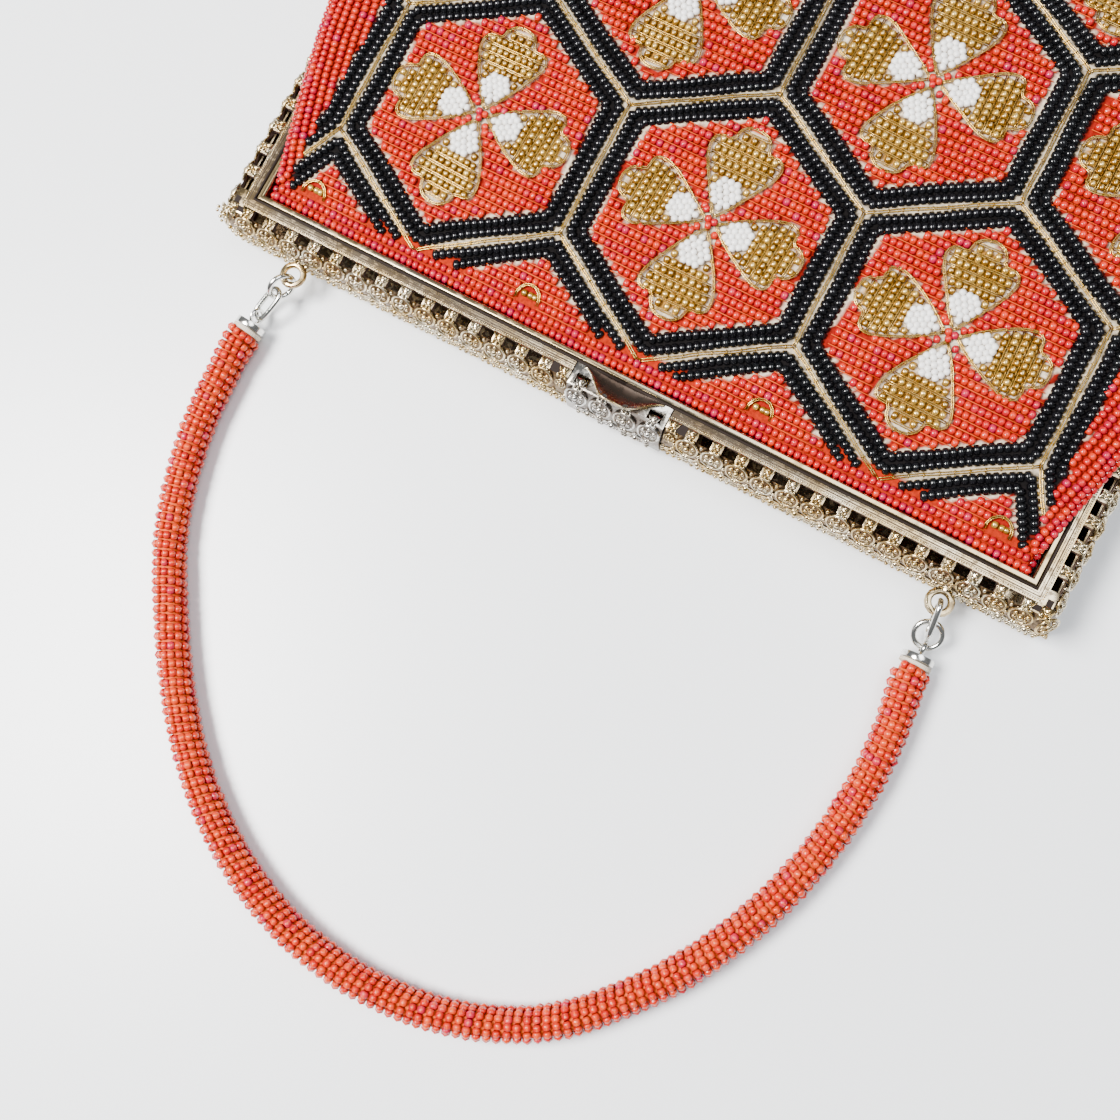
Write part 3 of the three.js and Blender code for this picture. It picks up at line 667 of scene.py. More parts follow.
# Rows of white beads in a flower's heart: how far out from its centre, and how many beads
HEART_ROWS = ((3.7, 1), (4.9, 3), (6.15, 4), (7.4, 5), (8.65, 4), (9.8, 3))
HEART_STEP = 1.5
PETAL_FROM = 11.3
PETAL_TO = 22.4
PETAL_MARGIN = 1.7
HEART_CLEAR = 3.6  # bare cloth round the middle of a flower


def gold_and_white(cloth, blossoms):
    """Gold rows across the petals with their threads, white hearts and the beads between them."""
    gold = []
    white = []
    coral = []
    threads = []
    last = cloth["front"]["end"] - 1
    for flower in blossoms:
        for quarter, (angle, scale) in enumerate(flower[2]):
            pitch = 2.3 if quarter % 2 else 2.1
            across = (-math.sin(angle), math.cos(angle))
            a = PETAL_FROM
            while a < PETAL_TO:
                width = petal_width(a) - PETAL_MARGIN
                if width > 0.7:
                    count = max(2, int(2 * width / GOLD_STEP) + 1)
                    for i in range(count):
                        b = -width + 2 * width * i / (count - 1)
                        u, v = petal_place(flower, angle, scale, a + chance.uniform(-0.12, 0.12), b)
                        if v < last:
                            gold.append(bead_on(cloth, "front", u, v, across, chance.random(), 1.9, 1.45))
                for beside in (-0.22, 0.22):
                    between = a + pitch / 2 + beside
                    width = petal_width(between) - 0.4
                    if width > 1 and between < PETAL_TO:
                        line = [petal_place(flower, angle, scale, between, b) for b in np.linspace(-width, width, 7)]
                        line = [p for p in line if p[1] < last]
                        if len(line) > 3:
                            threads.append([bead_on(cloth, "front", u, v, (1, 0), 0, 1.9, sink=-0.3)[0] for u, v in line])
                a += pitch
            for b in (-3.85, 3.85):
                u, v = petal_place(flower, angle, scale, PETAL_FROM - 1.9, b)
                if v < last:
                    gold.append(bead_on(cloth, "front", u, v, across, chance.random(), 1.9, 1.45))
            for number, (a, count) in enumerate(HEART_ROWS):
                for i in range(count):
                    b = (i - (count - 1) / 2) * HEART_STEP + chance.uniform(-0.12, 0.12)
                    u, v = petal_place(flower, angle, scale, a + chance.uniform(-0.12, 0.12), b)
                    if v < last:
                        spin = chance.uniform(0, math.pi)
                        heading = (math.cos(spin), math.sin(spin))
                        size = 1.75 if number else 1.6
                        white.append(bead_on(cloth, "front", u, v, heading, chance.random(), size, 1.5, -0.3))
        for far, angle in ((0.9, 0.4), (0.9, 2.5), (0.9, 4.6), (3.0, 0.8), (3.2, 2.3), (3.0, 3.9), (3.2, 5.5)):
            u = flower[0] + far * math.cos(angle)
            v = flower[1] + far * math.sin(angle)
            if v < last:
                coral.append(bead_on(cloth, "front", u, v, (1, 0.4), chance.gauss(0.4, 0.2), 1.9, 1.5, -0.2))
    for x, y in ARC_MIDDLES:
        for b in (-1.1, 0.5, 1.6):
            gold.append(bead_on(cloth, "front", x + b, y + 0.9, (1, 0), chance.random(), 1.7, 1.4))
    return gold, white, coral, threads


CORD_STEP = 1.1
COUCHING = 3.2


def couched(cloth, line, apart, sink, closed=False):
    """Two thin cords side by side along a line on the cloth, and the stitches over them."""
    line = np.asarray(line)
    if closed:
        line = np.concatenate([line, line[:1]])
    run = run_along(line)
    fine = np.linspace(0, run[-1], max(4, int(run[-1] / CORD_STEP)))
    path = np.stack([np.interp(fine, run, line[:, k]) for k in range(2)], 1)
    heading = np.gradient(path, axis=0)
    heading /= np.linalg.norm(heading, axis=1)[:, None]
    phase = chance.uniform(0, 6)

    def beside(t, swing, deep):
        u, v, hu, hv = (np.interp(t, fine, row) for row in (*path.T, *heading.T))
        return bead_on(cloth, "front", u - hv * swing, v + hu * swing, (1, 0), 0, 1.9, sink=deep)[0]

    strands = []
    for sign in (-1, 1):
        strand = []
        for t in fine:
            swing = sign * apart / 2 + 0.1 * math.sin(phase + t / 2.3) + chance.uniform(-0.05, 0.05)
            strand.append(beside(t, swing, sink + chance.uniform(-0.04, 0.04)))
        strands.append(strand)
    stitches = []
    for t in np.arange(COUCHING / 2 + chance.uniform(-1, 1), run[-1], COUCHING):
        wide = apart / 2 + 0.32
        stitches.append([beside(t, -wide, sink + 0.3), beside(t, -wide / 2, sink - 0.2),
                         beside(t + 0.15, wide / 2, sink - 0.2), beside(t + 0.15, wide, sink + 0.3)])
    return strands, stitches


# Colours of the stitched ground under the beads. Under coral beads it is coral thread colour together with painted
# light seen through the beads; under the black bands it is painted shade.
CORAL_THREAD_AND_BEAD_LIGHT = (0.26, 0.008, 0.003)
FRAME_THREAD_AND_BEAD_LIGHT = (0.34, 0.018, 0.003)
CORD_GROUND = (0.52, 0.43, 0.31)
BLACK_BAND_SHADE = (0.006, 0.005, 0.005)
PETAL_GROUND = (0.36, 0.17, 0.03)
CREAM_GROUND = (0.72, 0.6, 0.44)
GROUND_STEP = 1.2
GROUND_UNDER = 1.15
GROUND_THICK = 0.3


def ground_threads_and_painted_light(cloth, blossoms):
    """The stitched layer that the beads of the front panel lie on, coloured as the pattern runs: thread colours, with
    painted light under the coral beads and painted shade under the black bands.
    """
    part = cloth["front"]
    vs = np.arange(MOUTH + 0.3, part["end"] - 0.2, GROUND_STEP)
    shares = np.linspace(-1, 1, int(2 * 105 / GROUND_STEP))
    reaches = np.array([reach(cloth, "front", v) - 0.4 for v in vs])
    us = reaches[:, None] * shares[None]
    ups = np.repeat(vs[:, None], len(shares), 1)
    # Coral thread colour with painted light seen through the coral beads, as the colour to start from
    colours = np.tile(np.array(CORAL_THREAD_AND_BEAD_LIGHT), (*us.shape, 1))
    for cell in lattice_cells():
        outline = cell_outline(*cell)
        colours[inside(outline, us, ups)] = CORD_GROUND
        # Painted shade under the black bands
        colours[inside(inset(outline, 1.1), us, ups)] = BLACK_BAND_SHADE
        colours[inside(inset(outline, GROUND_MARGIN - 0.7), us, ups)] = CREAM_GROUND
        colours[inside(inset(outline, GROUND_MARGIN + 0.1), us, ups)] = CORAL_THREAD_AND_BEAD_LIGHT
    for flower in blossoms:
        colours[np.hypot(us - flower[0], ups - flower[1]) < HEART_CLEAR + 1] = CREAM_GROUND
        for angle, scale in flower[2]:
            out = (us - flower[0]) * math.cos(angle) + (ups - flower[1]) * math.sin(angle)
            within = inside(placed_outline(flower, angle, scale), us, ups)
            colours[within] = CREAM_GROUND
            core = inside(placed_outline(flower, angle, scale, -1.5), us, ups)
            colours[core & (out > PETAL_FROM - 1.2)] = PETAL_GROUND
    sides = np.array([side_border(v) for v in vs])[:, None]
    colours[np.abs(us) > sides] = CORAL_THREAD_AND_BEAD_LIGHT
    # Coral thread colour with painted light seen through the beads along the frame
    colours[ups < PATTERN_TOP + 3] = FRAME_THREAD_AND_BEAD_LIGHT
    top = np.zeros((*us.shape, 3))
    under = np.zeros_like(top)
    for i in range(len(vs)):
        for j in range(len(shares)):
            centre, _, out, _, _ = bead_on(cloth, "front", us[i, j], vs[i], (1, 0), 0, 2 * GROUND_UNDER)
            top[i, j] = centre
            under[i, j] = centre - out * GROUND_THICK
    ink = np.concatenate([colours, np.ones((*us.shape, 1))], -1).reshape(-1, 4)
    return joined("ground_threads_and_painted_light", *closed_sheet(top, under), ink=np.concatenate([ink, ink]))


def lattice_cords(cloth):
    """The couched cords: one line along each edge of the lattice, clipped to the pattern."""
    cords = []
    stitches = []
    seen = set()
    for cell in lattice_cells():
        outline = cell_outline(*cell)
        for a, b in zip(outline, np.roll(outline, -1, axis=0)):
            key = tuple(np.round((a + b) / 2, 1))
            if key in seen:
                continue
            seen.add(key)
            ts = np.linspace(0, 1, 81)
            points = a[None] + (b - a)[None] * ts[:, None]
            keep = []
            for u, v in points:
                if PATTERN_TOP - 0.6 < v < cloth["front"]["end"] - 0.8:
                    if in_pattern(cloth, u, v) or abs(u) < 90:
                        keep.append((u, v))
            if len(keep) > 12:
                made = couched(cloth, keep, 0.5, 0.0)
                cords += made[0]
                stitches += made[1]
    return cords, stitches


# Rope, from the left cap to the right cap: x, y of its middle line as it lies
ROPE_ROUTE = (
    (-89.38, -90.32), (-89.76, -94.5), (-89.7, -100), (-88, -119), (-81.5, -140.8), (-70.5, -159.4),
    (-58, -176), (-43.6, -190), (-26.5, -200.8), (-7.3, -207.2), (12.9, -208.4), (32.3, -204.6),
    (49.6, -195.8), (62.9, -181.9), (72.9, -167), (79.9, -151.4), (84.4, -135.5), (86.5, -119),
    (86.4, -105), (84.64, -92.3), (84.47, -88.1),
)
ROPE_HEIGHT = 4.3
ROPE_RADIUS = 4.2
ROPE_ROUND = 13
ROPE_PITCH = 2.15
ROPE_COLLAR = 0.5  # bare cloth between a cap and the first beads
ROPE_SWELL = 0.06  # how much fuller the rope is beside its caps
ROPE_SWELL_REACH = 9


def rope_line():
    points = [np.array([x, y, ROPE_HEIGHT]) for x, y in ROPE_ROUTE]
    curve = []
    padded = [2 * points[0] - points[1]] + points + [2 * points[-1] - points[-2]]
    for p0, p1, p2, p3 in zip(padded, padded[1:], padded[2:], padded[3:]):
        for t in np.arange(12) / 12:
            curve.append(
                0.5 * (2 * p1 + (p2 - p0) * t + (2 * p0 - 5 * p1 + 4 * p2 - p3) * t**2
                       + (3 * p1 - p0 - 3 * p2 + p3) * t**3)
            )
    return np.array(curve + [points[-1]])


def rope_swell(far, whole):
    near = min(far, whole - far)
    return 1 + ROPE_SWELL * math.exp(-((near / ROPE_SWELL_REACH) ** 2))


def rope_beads(line):
    """Beads threaded round the rope in one long spiral."""
    run = run_along(line)
    first = ROPE_COLLAR + BEAD_ACROSS / 2
    turns = (run[-1] - 2 * first) / ROPE_PITCH
    places = []
    for i in range(int(turns * ROPE_ROUND)):
        far = first + ROPE_PITCH * i / ROPE_ROUND
        here = np.array([np.interp(far, run, line[:, k]) for k in range(3)])
        ahead = np.array([np.interp(far + 1, run, line[:, k]) for k in range(3)]) - here
        ahead /= np.linalg.norm(ahead)
        side = np.cross(ahead, (0, 0, 1))
        angle = 2 * math.pi * i / ROPE_ROUND + 0.35 * math.sin(far / 23) + chance.uniform(-0.03, 0.03)
        out = side * math.cos(angle) + np.array((0, 0, 1)) * math.sin(angle)
        around = np.cross(ahead, out) + ahead * (0.08 + chance.uniform(-0.09, 0.09))
        full = ROPE_RADIUS * rope_swell(far, run[-1])
        radius = full - BEAD_ACROSS / 2 + chance.uniform(-0.1, 0.06)
        here = here + np.array((0, 0, full - ROPE_RADIUS))
        place = here + out * radius + ahead * chance.uniform(-0.09, 0.09)
        size = 1 + chance.uniform(-0.07, 0.06)
        tone = chance.gauss(0.55, 0.2)
        places.append((place, around, out, (2.1 * size, 1.66 * size), tone))
    return places


# Metal frame

def along_bar(side, along):
    """Places an ornament drawn with X along the bar, Y outward and Z up. Side 0 is the top bar."""
    if side == 0:
        return Matrix.Translation((along, -PARTING_REACH, 0)) @ Matrix.Rotation(math.pi, 4, "Z")
    turn = Matrix.Rotation(-side * math.pi / 2, 4, "Z")
    return Matrix.Translation((side * PARTING_HALF, along, 0)) @ turn


def add_ball(bm, place, radius, squash=1.0):
    size = Matrix.Diagonal((radius, radius, radius * squash, 1))
    bmesh.ops.create_uvsphere(bm, u_segments=7, v_segments=4, radius=1, matrix=place @ size)


def wire_ring(radius, wire, sides, wire_sides):
    """A closed ring of wire in the XY plane, as the only thing in a new bmesh."""
    bm = bmesh.new()
    bmesh.ops.create_circle(bm, segments=wire_sides, radius=wire)
    bmesh.ops.rotate(bm, verts=bm.verts, cent=(0, 0, 0), matrix=Matrix.Rotation(math.pi / 2, 3, "X"))
    bmesh.ops.translate(bm, verts=bm.verts, vec=(radius, 0, 0))
    bmesh.ops.spin(
        bm, geom=bm.verts[:] + bm.edges[:], cent=(0, 0, 0), axis=(0, 0, 1), angle=2 * math.pi, steps=sides,
        use_merge=True,
    )
    bmesh.ops.recalc_face_normals(bm, faces=bm.faces[:])
    return bm


def slope_place(u, rise=0.0):
    """A place on the sloping shoulder: X along the bar, Y down the slope, Z out of it."""
    z = FRAME_DEPTH - (u - SHOULDER_IN) * SHOULDER_DROP / (FRAME_WIDTH - SHOULDER_IN)
    tilt = math.atan2(SHOULDER_DROP, FRAME_WIDTH - SHOULDER_IN)
    place = Matrix.Translation((0, u, z)) @ Matrix.Rotation(-tilt, 4, "X")
    return place @ Matrix.Translation((0, 0, rise))


ROSETTE_RADIUS = 2.55
ROSETTE_WIRE = 0.3


def moved(shape, place):
    points, faces = shape
    return points @ np.array(place.to_3x3()).T + np.array(place.translation), faces


def gathered(shapes):
    """One pair of arrays from several."""
    every_point = []
    every_face = []
    start = 0
    for points, faces in shapes:
        every_point.append(points)
        every_face.append(faces + start)
        start += len(points)
    return np.concatenate(every_point), np.concatenate(every_face)


def balls(spots):
    """Small balls: x, y, z, radius."""
    bm = bmesh.new()
    for x, y, z, radius in spots:
        add_ball(bm, Matrix.Translation((x, y, z)), radius)
    return shape_arrays(bm)


def rosette_shape():
    """A ring of wire round a boss, balls and short curls, in the XY plane."""
    spots = [(0, 0, 0.3, 0.78)]
    for number in range(6):
        angle = math.radians(60 * number + 30)
        spots.append((1.55 * math.cos(angle), 1.55 * math.sin(angle), 0.15, 0.56 if number % 2 else 0.44))
    curls = []
    for number in range(3):
        angles = [math.radians(120 * number + step) for step in (15, 45, 75, 105)]
        curls.append([(1.05 * math.cos(t), 1.05 * math.sin(t), 0.55) for t in angles])
    ring = wire_ring(ROSETTE_RADIUS, ROSETTE_WIRE, 22, 6)
    return gathered([shape_arrays(ring), balls(spots), tube_arrays(curls, 0.15, 4)])


def slope_rosette(size=1.0):
    place = slope_place((SHOULDER_IN + FRAME_WIDTH) / 2, 0.5 * size)
    return moved(rosette_shape(), place @ Matrix.Scale(size, 4))


def wall_shape(low=True):
    """The relief of the outer wall between two rosettes: a smaller ring, its boss and balls."""
    ring = wire_ring(2.1, 0.3, 18, 5)
    spots = [(0, 0, 0.1, 0.85), (0, -3.1, 0.05, 0.55)]
    spots += [(x, y, 0, 0.5) for x in (-1.25, 1.25) for y in (-1.0, 1.0)]
    spots += [(x, y, 0, 0.6) for x in (-2.75, 2.75) for y in (-1.6, 0.6, 3.0)]
    if low:
        spots += [(x, 4.65, 0, 0.52) for x in (-1.5, 0, 1.5)]
    arrays = gathered([shape_arrays(ring), balls(spots)])
    tilt = Matrix.Rotation(-math.pi / 2, 4, "X")
    place = Matrix.Translation((PITCH / 2, FRAME_WIDTH + 0.12, 7.6)) @ tilt
    return moved(arrays, place)


CORNER_OUT = 1.7  # how much further out the corner's rosette stands than the others
POST_FOOT = 2.25  # where a post grows out of the smooth band
POST_SHEET = 0.5


def post_shape(outer=True):
    """The tulip between two windows: a cup with bright edges, its balls and the outer ones beside it."""
    bm = bmesh.new()
    outline = ((1.25, 0), (0.95, 0.8), (0.62, 1.6), (0.7, 2.4), (-0.7, 2.4), (-0.62, 1.6), (-0.95, 0.8), (-1.25, 0))
    lower = [bm.verts.new((x, POST_FOOT + y, FRAME_DEPTH - 0.3)) for x, y in outline]
    upper = [bm.verts.new((x * 0.86, POST_FOOT + y, FRAME_DEPTH - 0.3 + POST_SHEET)) for x, y in outline]
    bm.faces.new(upper)
    bm.faces.new(lower[::-1])
    for i, (a, b) in enumerate(zip(lower, upper)):
        k = (i + 1) % len(lower)
        bm.faces.new((a, lower[k], upper[k], b))
    bmesh.ops.recalc_face_normals(bm, faces=bm.faces[:])
    high = FRAME_DEPTH + 0.12
    edges = []
    for sign in (-1, 1):
        edge = ((1.45, 0), (1.1, 0.7), (0.75, 1.4), (0.8, 2.0), (1.25, 2.5))
        edges.append([(sign * x, POST_FOOT + y, high) for x, y in edge])
    spots = [
        (0, POST_FOOT + 0.55, high - 0.05, 0.5), (-0.42, POST_FOOT + 1.6, high + 0.05, 0.5),
        (0.42, POST_FOOT + 1.6, high + 0.05, 0.5), (0, POST_FOOT + 2.4, high - 0.1, 0.45),
        (-0.95, POST_FOOT + 2.45, high - 0.3, 0.42), (0.95, POST_FOOT + 2.45, high - 0.3, 0.42),
        (PITCH / 2, 4.95, FRAME_DEPTH - 0.75, 0.5), (PITCH / 2 - 0.55, 5.6, FRAME_DEPTH - 2.1, 0.42),
        (PITCH / 2 + 0.55, 5.6, FRAME_DEPTH - 2.1, 0.42), (PITCH / 2, 6.3, FRAME_DEPTH - 3.7, 0.5),
        (PITCH / 2, 6.75, FRAME_DEPTH - 5.3, 0.42),
    ]
    if not outer:
        spots = spots[:6]
    return gathered([shape_arrays(bm), tube_arrays(edges, 0.17, 5), balls(spots)])


def stamped(name, stamps):
    """One mesh of shapes, each with the matrices that place its copies."""
    every_point = []
    every_face = []
    start = 0
    for (points, faces), places in stamps:
        for place in places:
            turn = np.array(place.to_3x3())
            every_point.append(points @ turn.T + np.array(place.translation))
            every_face.append(faces + start)
            start += len(points)
    return joined(name, np.concatenate(every_point), np.concatenate(every_face))


def corner_place(sign):
    """The place of the ornament that stands across a corner of the frame, outward along Y."""
    turn = Matrix.Rotation(-sign * 3 * math.pi / 4, 4, "Z")
    return Matrix.Translation((sign * PARTING_HALF, -PARTING_REACH, 0)) @ turn @ Matrix.Translation((0, CORNER_OUT, 0))


def painted_window_shade_patches():
    """Dark panels of painted shade that carry the run of windows on to the lever and the corners."""
    bm = bmesh.new()
    spots = [(0, sign * 2.5 * PITCH) for sign in (-1, 1)] + [(0, sign * 99.9) for sign in (-1, 1)]
    spots += [(sign, -(PARTING_REACH + 1.6)) for sign in (-1, 1)]
    for side, along in spots:
        share = 1 if abs(along) < 3 * PITCH else 0.6
        size = Matrix.Diagonal((WINDOW_WIDE * share, WINDOW_DEEP * share, 0.2, 1))
        place = along_bar(side, along if side else -along) @ Matrix.Translation((0, WINDOW_MIDDLE, FRAME_DEPTH - 0.07))
        bmesh.ops.create_cube(bm, size=1, matrix=place @ size)
    return mesh_of(bm, "painted_window_shade")


WINDOW_WIDE = 3.4
WINDOW_DEEP = 2.3
WINDOW_MIDDLE = 3.35


def ornament_places():
    places = []
    first = int((LEVER_HALF + 0.3) / PITCH) + 1
    top = int(PARTING_HALF / PITCH)
    for sign in (-1, 1):
        for k in range(first, top + 1):
            places.append(along_bar(0, sign * k * PITCH))
        for k in range(7):
            places.append(along_bar(sign, -PARTING_REACH + PITCH * (k + 1)))
    return places


def milgrain(u, z, radius, step, skip):
    """A line of tiny grains along the frame, u outward from the parting line."""
    places = []
    half = PARTING_HALF + u
    edge = -(PARTING_REACH + u)
    for x in np.arange(-half, half + 0.01, step):
        if abs(x) > skip:
            places.append(((x, edge, z), (0, 0, 1), (0, 1, 0), (2 * radius, 2 * radius), 0.5))
    for sign in (-1, 1):
        for y in np.arange(edge + step, ARM_END - radius, step):
            places.append(((sign * half, y, z), (0, 0, 1), (0, 1, 0), (2 * radius, 2 * radius), 0.5))
    return places


def softened(node, width, angle=25):
    """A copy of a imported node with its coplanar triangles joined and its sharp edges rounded."""
    bm = bmesh.new()
    bm.from_mesh(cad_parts[node].data)
    bmesh.ops.scale(bm, vec=(1 / MM, 1 / MM, 1 / MM), verts=bm.verts)
    bmesh.ops.remove_doubles(bm, verts=bm.verts, dist=0.002)
    bmesh.ops.dissolve_limit(bm, angle_limit=math.radians(2), verts=bm.verts[:], edges=bm.edges[:], delimit=set())
    bm.normal_update()
    sharp = [e for e in bm.edges if len(e.link_faces) == 2 and e.calc_face_angle(0) > math.radians(angle)]
    if width:
        bmesh.ops.bevel(
            bm, geom=sharp, offset=width, segments=2, affect="EDGES", profile=0.5, material=-1, clamp_overlap=True
        )
    return bm


def shaded_by_angle(piece, degrees=35):
    """Smooth shading that stays sharp at edges steeper than an angle."""
    piece.data.shade_smooth()
    piece.data.set_sharp_from_angle(angle=math.radians(degrees))


def tarnish_and_shade_faces(bm, dark, dull, depth=9):
    """Numbers the faces of a casting: inside a window or hollow 1, on its sloping or outer wall 2. The hollows' number
    is for tarnish; the walls' number is for a darker metal that is tarnish together with painted shade.
    """
    bmesh.ops.triangulate(bm, faces=bm.faces[:])
    bm.normal_update()
    tree = BVHTree.FromBMesh(bm)
    for face in bm.faces:
        start = face.calc_center_median() + face.normal * 0.02
        if tree.ray_cast(start, face.normal, depth)[0] is not None:
            face.material_index = dark
        # Sloping and outer walls take a darker metal: tarnish together with painted shade on the sides away from the
        # top
        elif -0.2 < face.normal.z < 0.6:
            face.material_index = dull


def frame_lines(out, start=LEVER_HALF + 0.35):
    """Lines along the frame at a distance outside the parting line, from the lever to the arm ends."""
    half = PARTING_HALF + out
    edge = -(PARTING_REACH + out)
    high = FRAME_DEPTH + 0.02
    lines = []
    for sign in (-1, 1):
        across = [(sign * x, edge, high) for x in np.linspace(start, half, 12)]
        down = [(sign * half, y, high) for y in np.linspace(edge + 6, ARM_END - 0.1, 9)]
        lines.append(across + down)
    return lines


# Dark lines along the smooth band, and painted shade over the parting: how far out, and half of the width
GROOVES = ((0.42, 0.08), (1.0, 0.15), (1.42, 0.07))
PARTING_SHADE = (-0.22, 0.33)


# Clasp lip and handle fittings

LIP_HALF = 9.9
LIP_REACH = 5.3
LIP_RISE = 3.0
LIP_SHEET = 0.8
LIP_ENDS = 0.06
LIP_FULLNESS = 1.3
LIP_SKIN = 0.12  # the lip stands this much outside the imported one


def lip_mesh():
    """The thumb lip: it starts flat at the parting line and flares up and out to a bow."""
    grid = np.zeros((13, 57, 3))
    for i, t in enumerate(np.linspace(0, 1, 13)):
        for j, share in enumerate(np.linspace(-1, 1, 57)):
            inward = min(1, (1 - abs(share)) * LIP_FULLNESS)
            bow = LIP_ENDS + (1 - LIP_ENDS) * inward * inward * (3 - 2 * inward)
            out = PARTING_REACH - 0.05 + (LIP_REACH * bow + LIP_SKIN) * t
            rise = FRAME_DEPTH + LIP_SKIN + LIP_RISE * bow * t * t
            grid[12 - i, j] = (share * (LIP_HALF + LIP_SKIN), -out, rise)
    under = grid - np.array((0, 0, LIP_SHEET + 2 * LIP_SKIN))
    edge = [point - np.array((0, 0, LIP_SHEET / 3)) for point in grid[0]]
    return joined("lip", *closed_sheet(grid, under)), edge


RING_PUSH = 0.2


def rounded_ring(node, material, name):
    """A smooth copy of a packed ring or link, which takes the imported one's place."""
    # Pushed out a little, as smoothing draws it in
    bm = bmesh.new()
    bm.from_mesh(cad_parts[node].data)
    bmesh.ops.scale(bm, vec=(1 / MM, 1 / MM, 1 / MM), verts=bm.verts)
    bmesh.ops.remove_doubles(bm, verts=bm.verts, dist=0.002)
    bm.normal_update()
    pushed = [(v, v.normal * RING_PUSH) for v in bm.verts]
    for v, push in pushed:
        v.co += push
    bmesh.ops.join_triangles(bm, faces=bm.faces[:], angle_face_threshold=3.2, angle_shape_threshold=3.2)
    piece = finished(name, mesh_of(bm, name), material)
    smooth = piece.modifiers.new("smooth", "SUBSURF")
    smooth.levels = 2
    smooth.render_levels = 2
    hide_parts(node)
    return piece


# Materials

def principled(name, **values):
    material = bpy.data.materials.new(name)
    material.use_nodes = True
    shader = material.node_tree.nodes["Principled BSDF"]
    for key, value in values.items():
        shader.inputs[key.replace("_", " ")].default_value = value
    return material, material.node_tree, shader


def added(tree, kind, **settings):
    node = tree.nodes.new(kind)
    for key, value in settings.items():
        setattr(node, key, value)
    return node


def ramp(tree, stops):
    node = added(tree, "ShaderNodeValToRGB")
    elements = node.color_ramp.elements
    while len(elements) < len(stops):
        elements.new(0.5)
    for element, (position, colour) in zip(elements, stops):
        element.position = position
        element.color = (*colour, 1)
    return node


def blended(tree, source, low, high, under, over, share=1.0):
    """Mixes from one colour to another as a value goes from low to high."""
    span = added(tree, "ShaderNodeMapRange", interpolation_type="SMOOTHSTEP")
    span.inputs["From Min"].default_value = low
    span.inputs["From Max"].default_value = high
    span.inputs["To Max"].default_value = share
    tree.links.new(source, span.inputs["Value"])
    mix = added(tree, "ShaderNodeMix", data_type="RGBA")
    tree.links.new(span.outputs["Result"], mix.inputs["Factor"])
    for key, colour in (("A", under), ("B", over)):
        if isinstance(colour, tuple):
            mix.inputs[key].default_value = (*colour, 1)
        else:
            tree.links.new(colour, mix.inputs[key])
    return mix.outputs["Result"]


def bead_material(name, stops, spread=0.0, deep=None, painted_highlight=None, painted_highlight_from=0.62, painted_highlight_share=0.6, **values):
    """Glass beads whose colour follows each bead's tone, with painted shade that makes each bead darker at its sides
    and underside and a painted highlight that makes it lighter on top.
    """
    material, tree, shader = principled(name, **values)
    tone = added(tree, "ShaderNodeAttribute", attribute_name="tone")
    rise = added(tree, "ShaderNodeAttribute", attribute_name="rise")
    noise = added(tree, "ShaderNodeTexNoise")
    noise.inputs["Scale"].default_value = 900
    noise.inputs["Detail"].default_value = 1
    place = added(tree, "ShaderNodeTexCoord")
    shift = added(tree, "ShaderNodeMath", operation="MULTIPLY_ADD")
    shift.inputs[1].default_value = spread
    tree.links.new(place.outputs["Object"], noise.inputs["Vector"])
    tree.links.new(noise.outputs["Fac"], shift.inputs[0])
    tree.links.new(tone.outputs["Fac"], shift.inputs[2])
    colours = ramp(tree, stops)
    tree.links.new(shift.outputs[0], colours.inputs["Fac"])
    colour = colours.outputs["Color"]
    # Painted shade: towards the bead's sides and underside the colour goes over to the deep colour
    if deep:
        colour = blended(tree, rise.outputs["Fac"], -0.15, 0.8, deep, colour)
    # Painted highlight: the top of the bead goes over to a lighter colour
    if painted_highlight:
        colour = blended(tree, rise.outputs["Fac"], painted_highlight_from, 1.0, colour, painted_highlight, painted_highlight_share)
    tree.links.new(colour, shader.inputs["Base Color"])
    return material


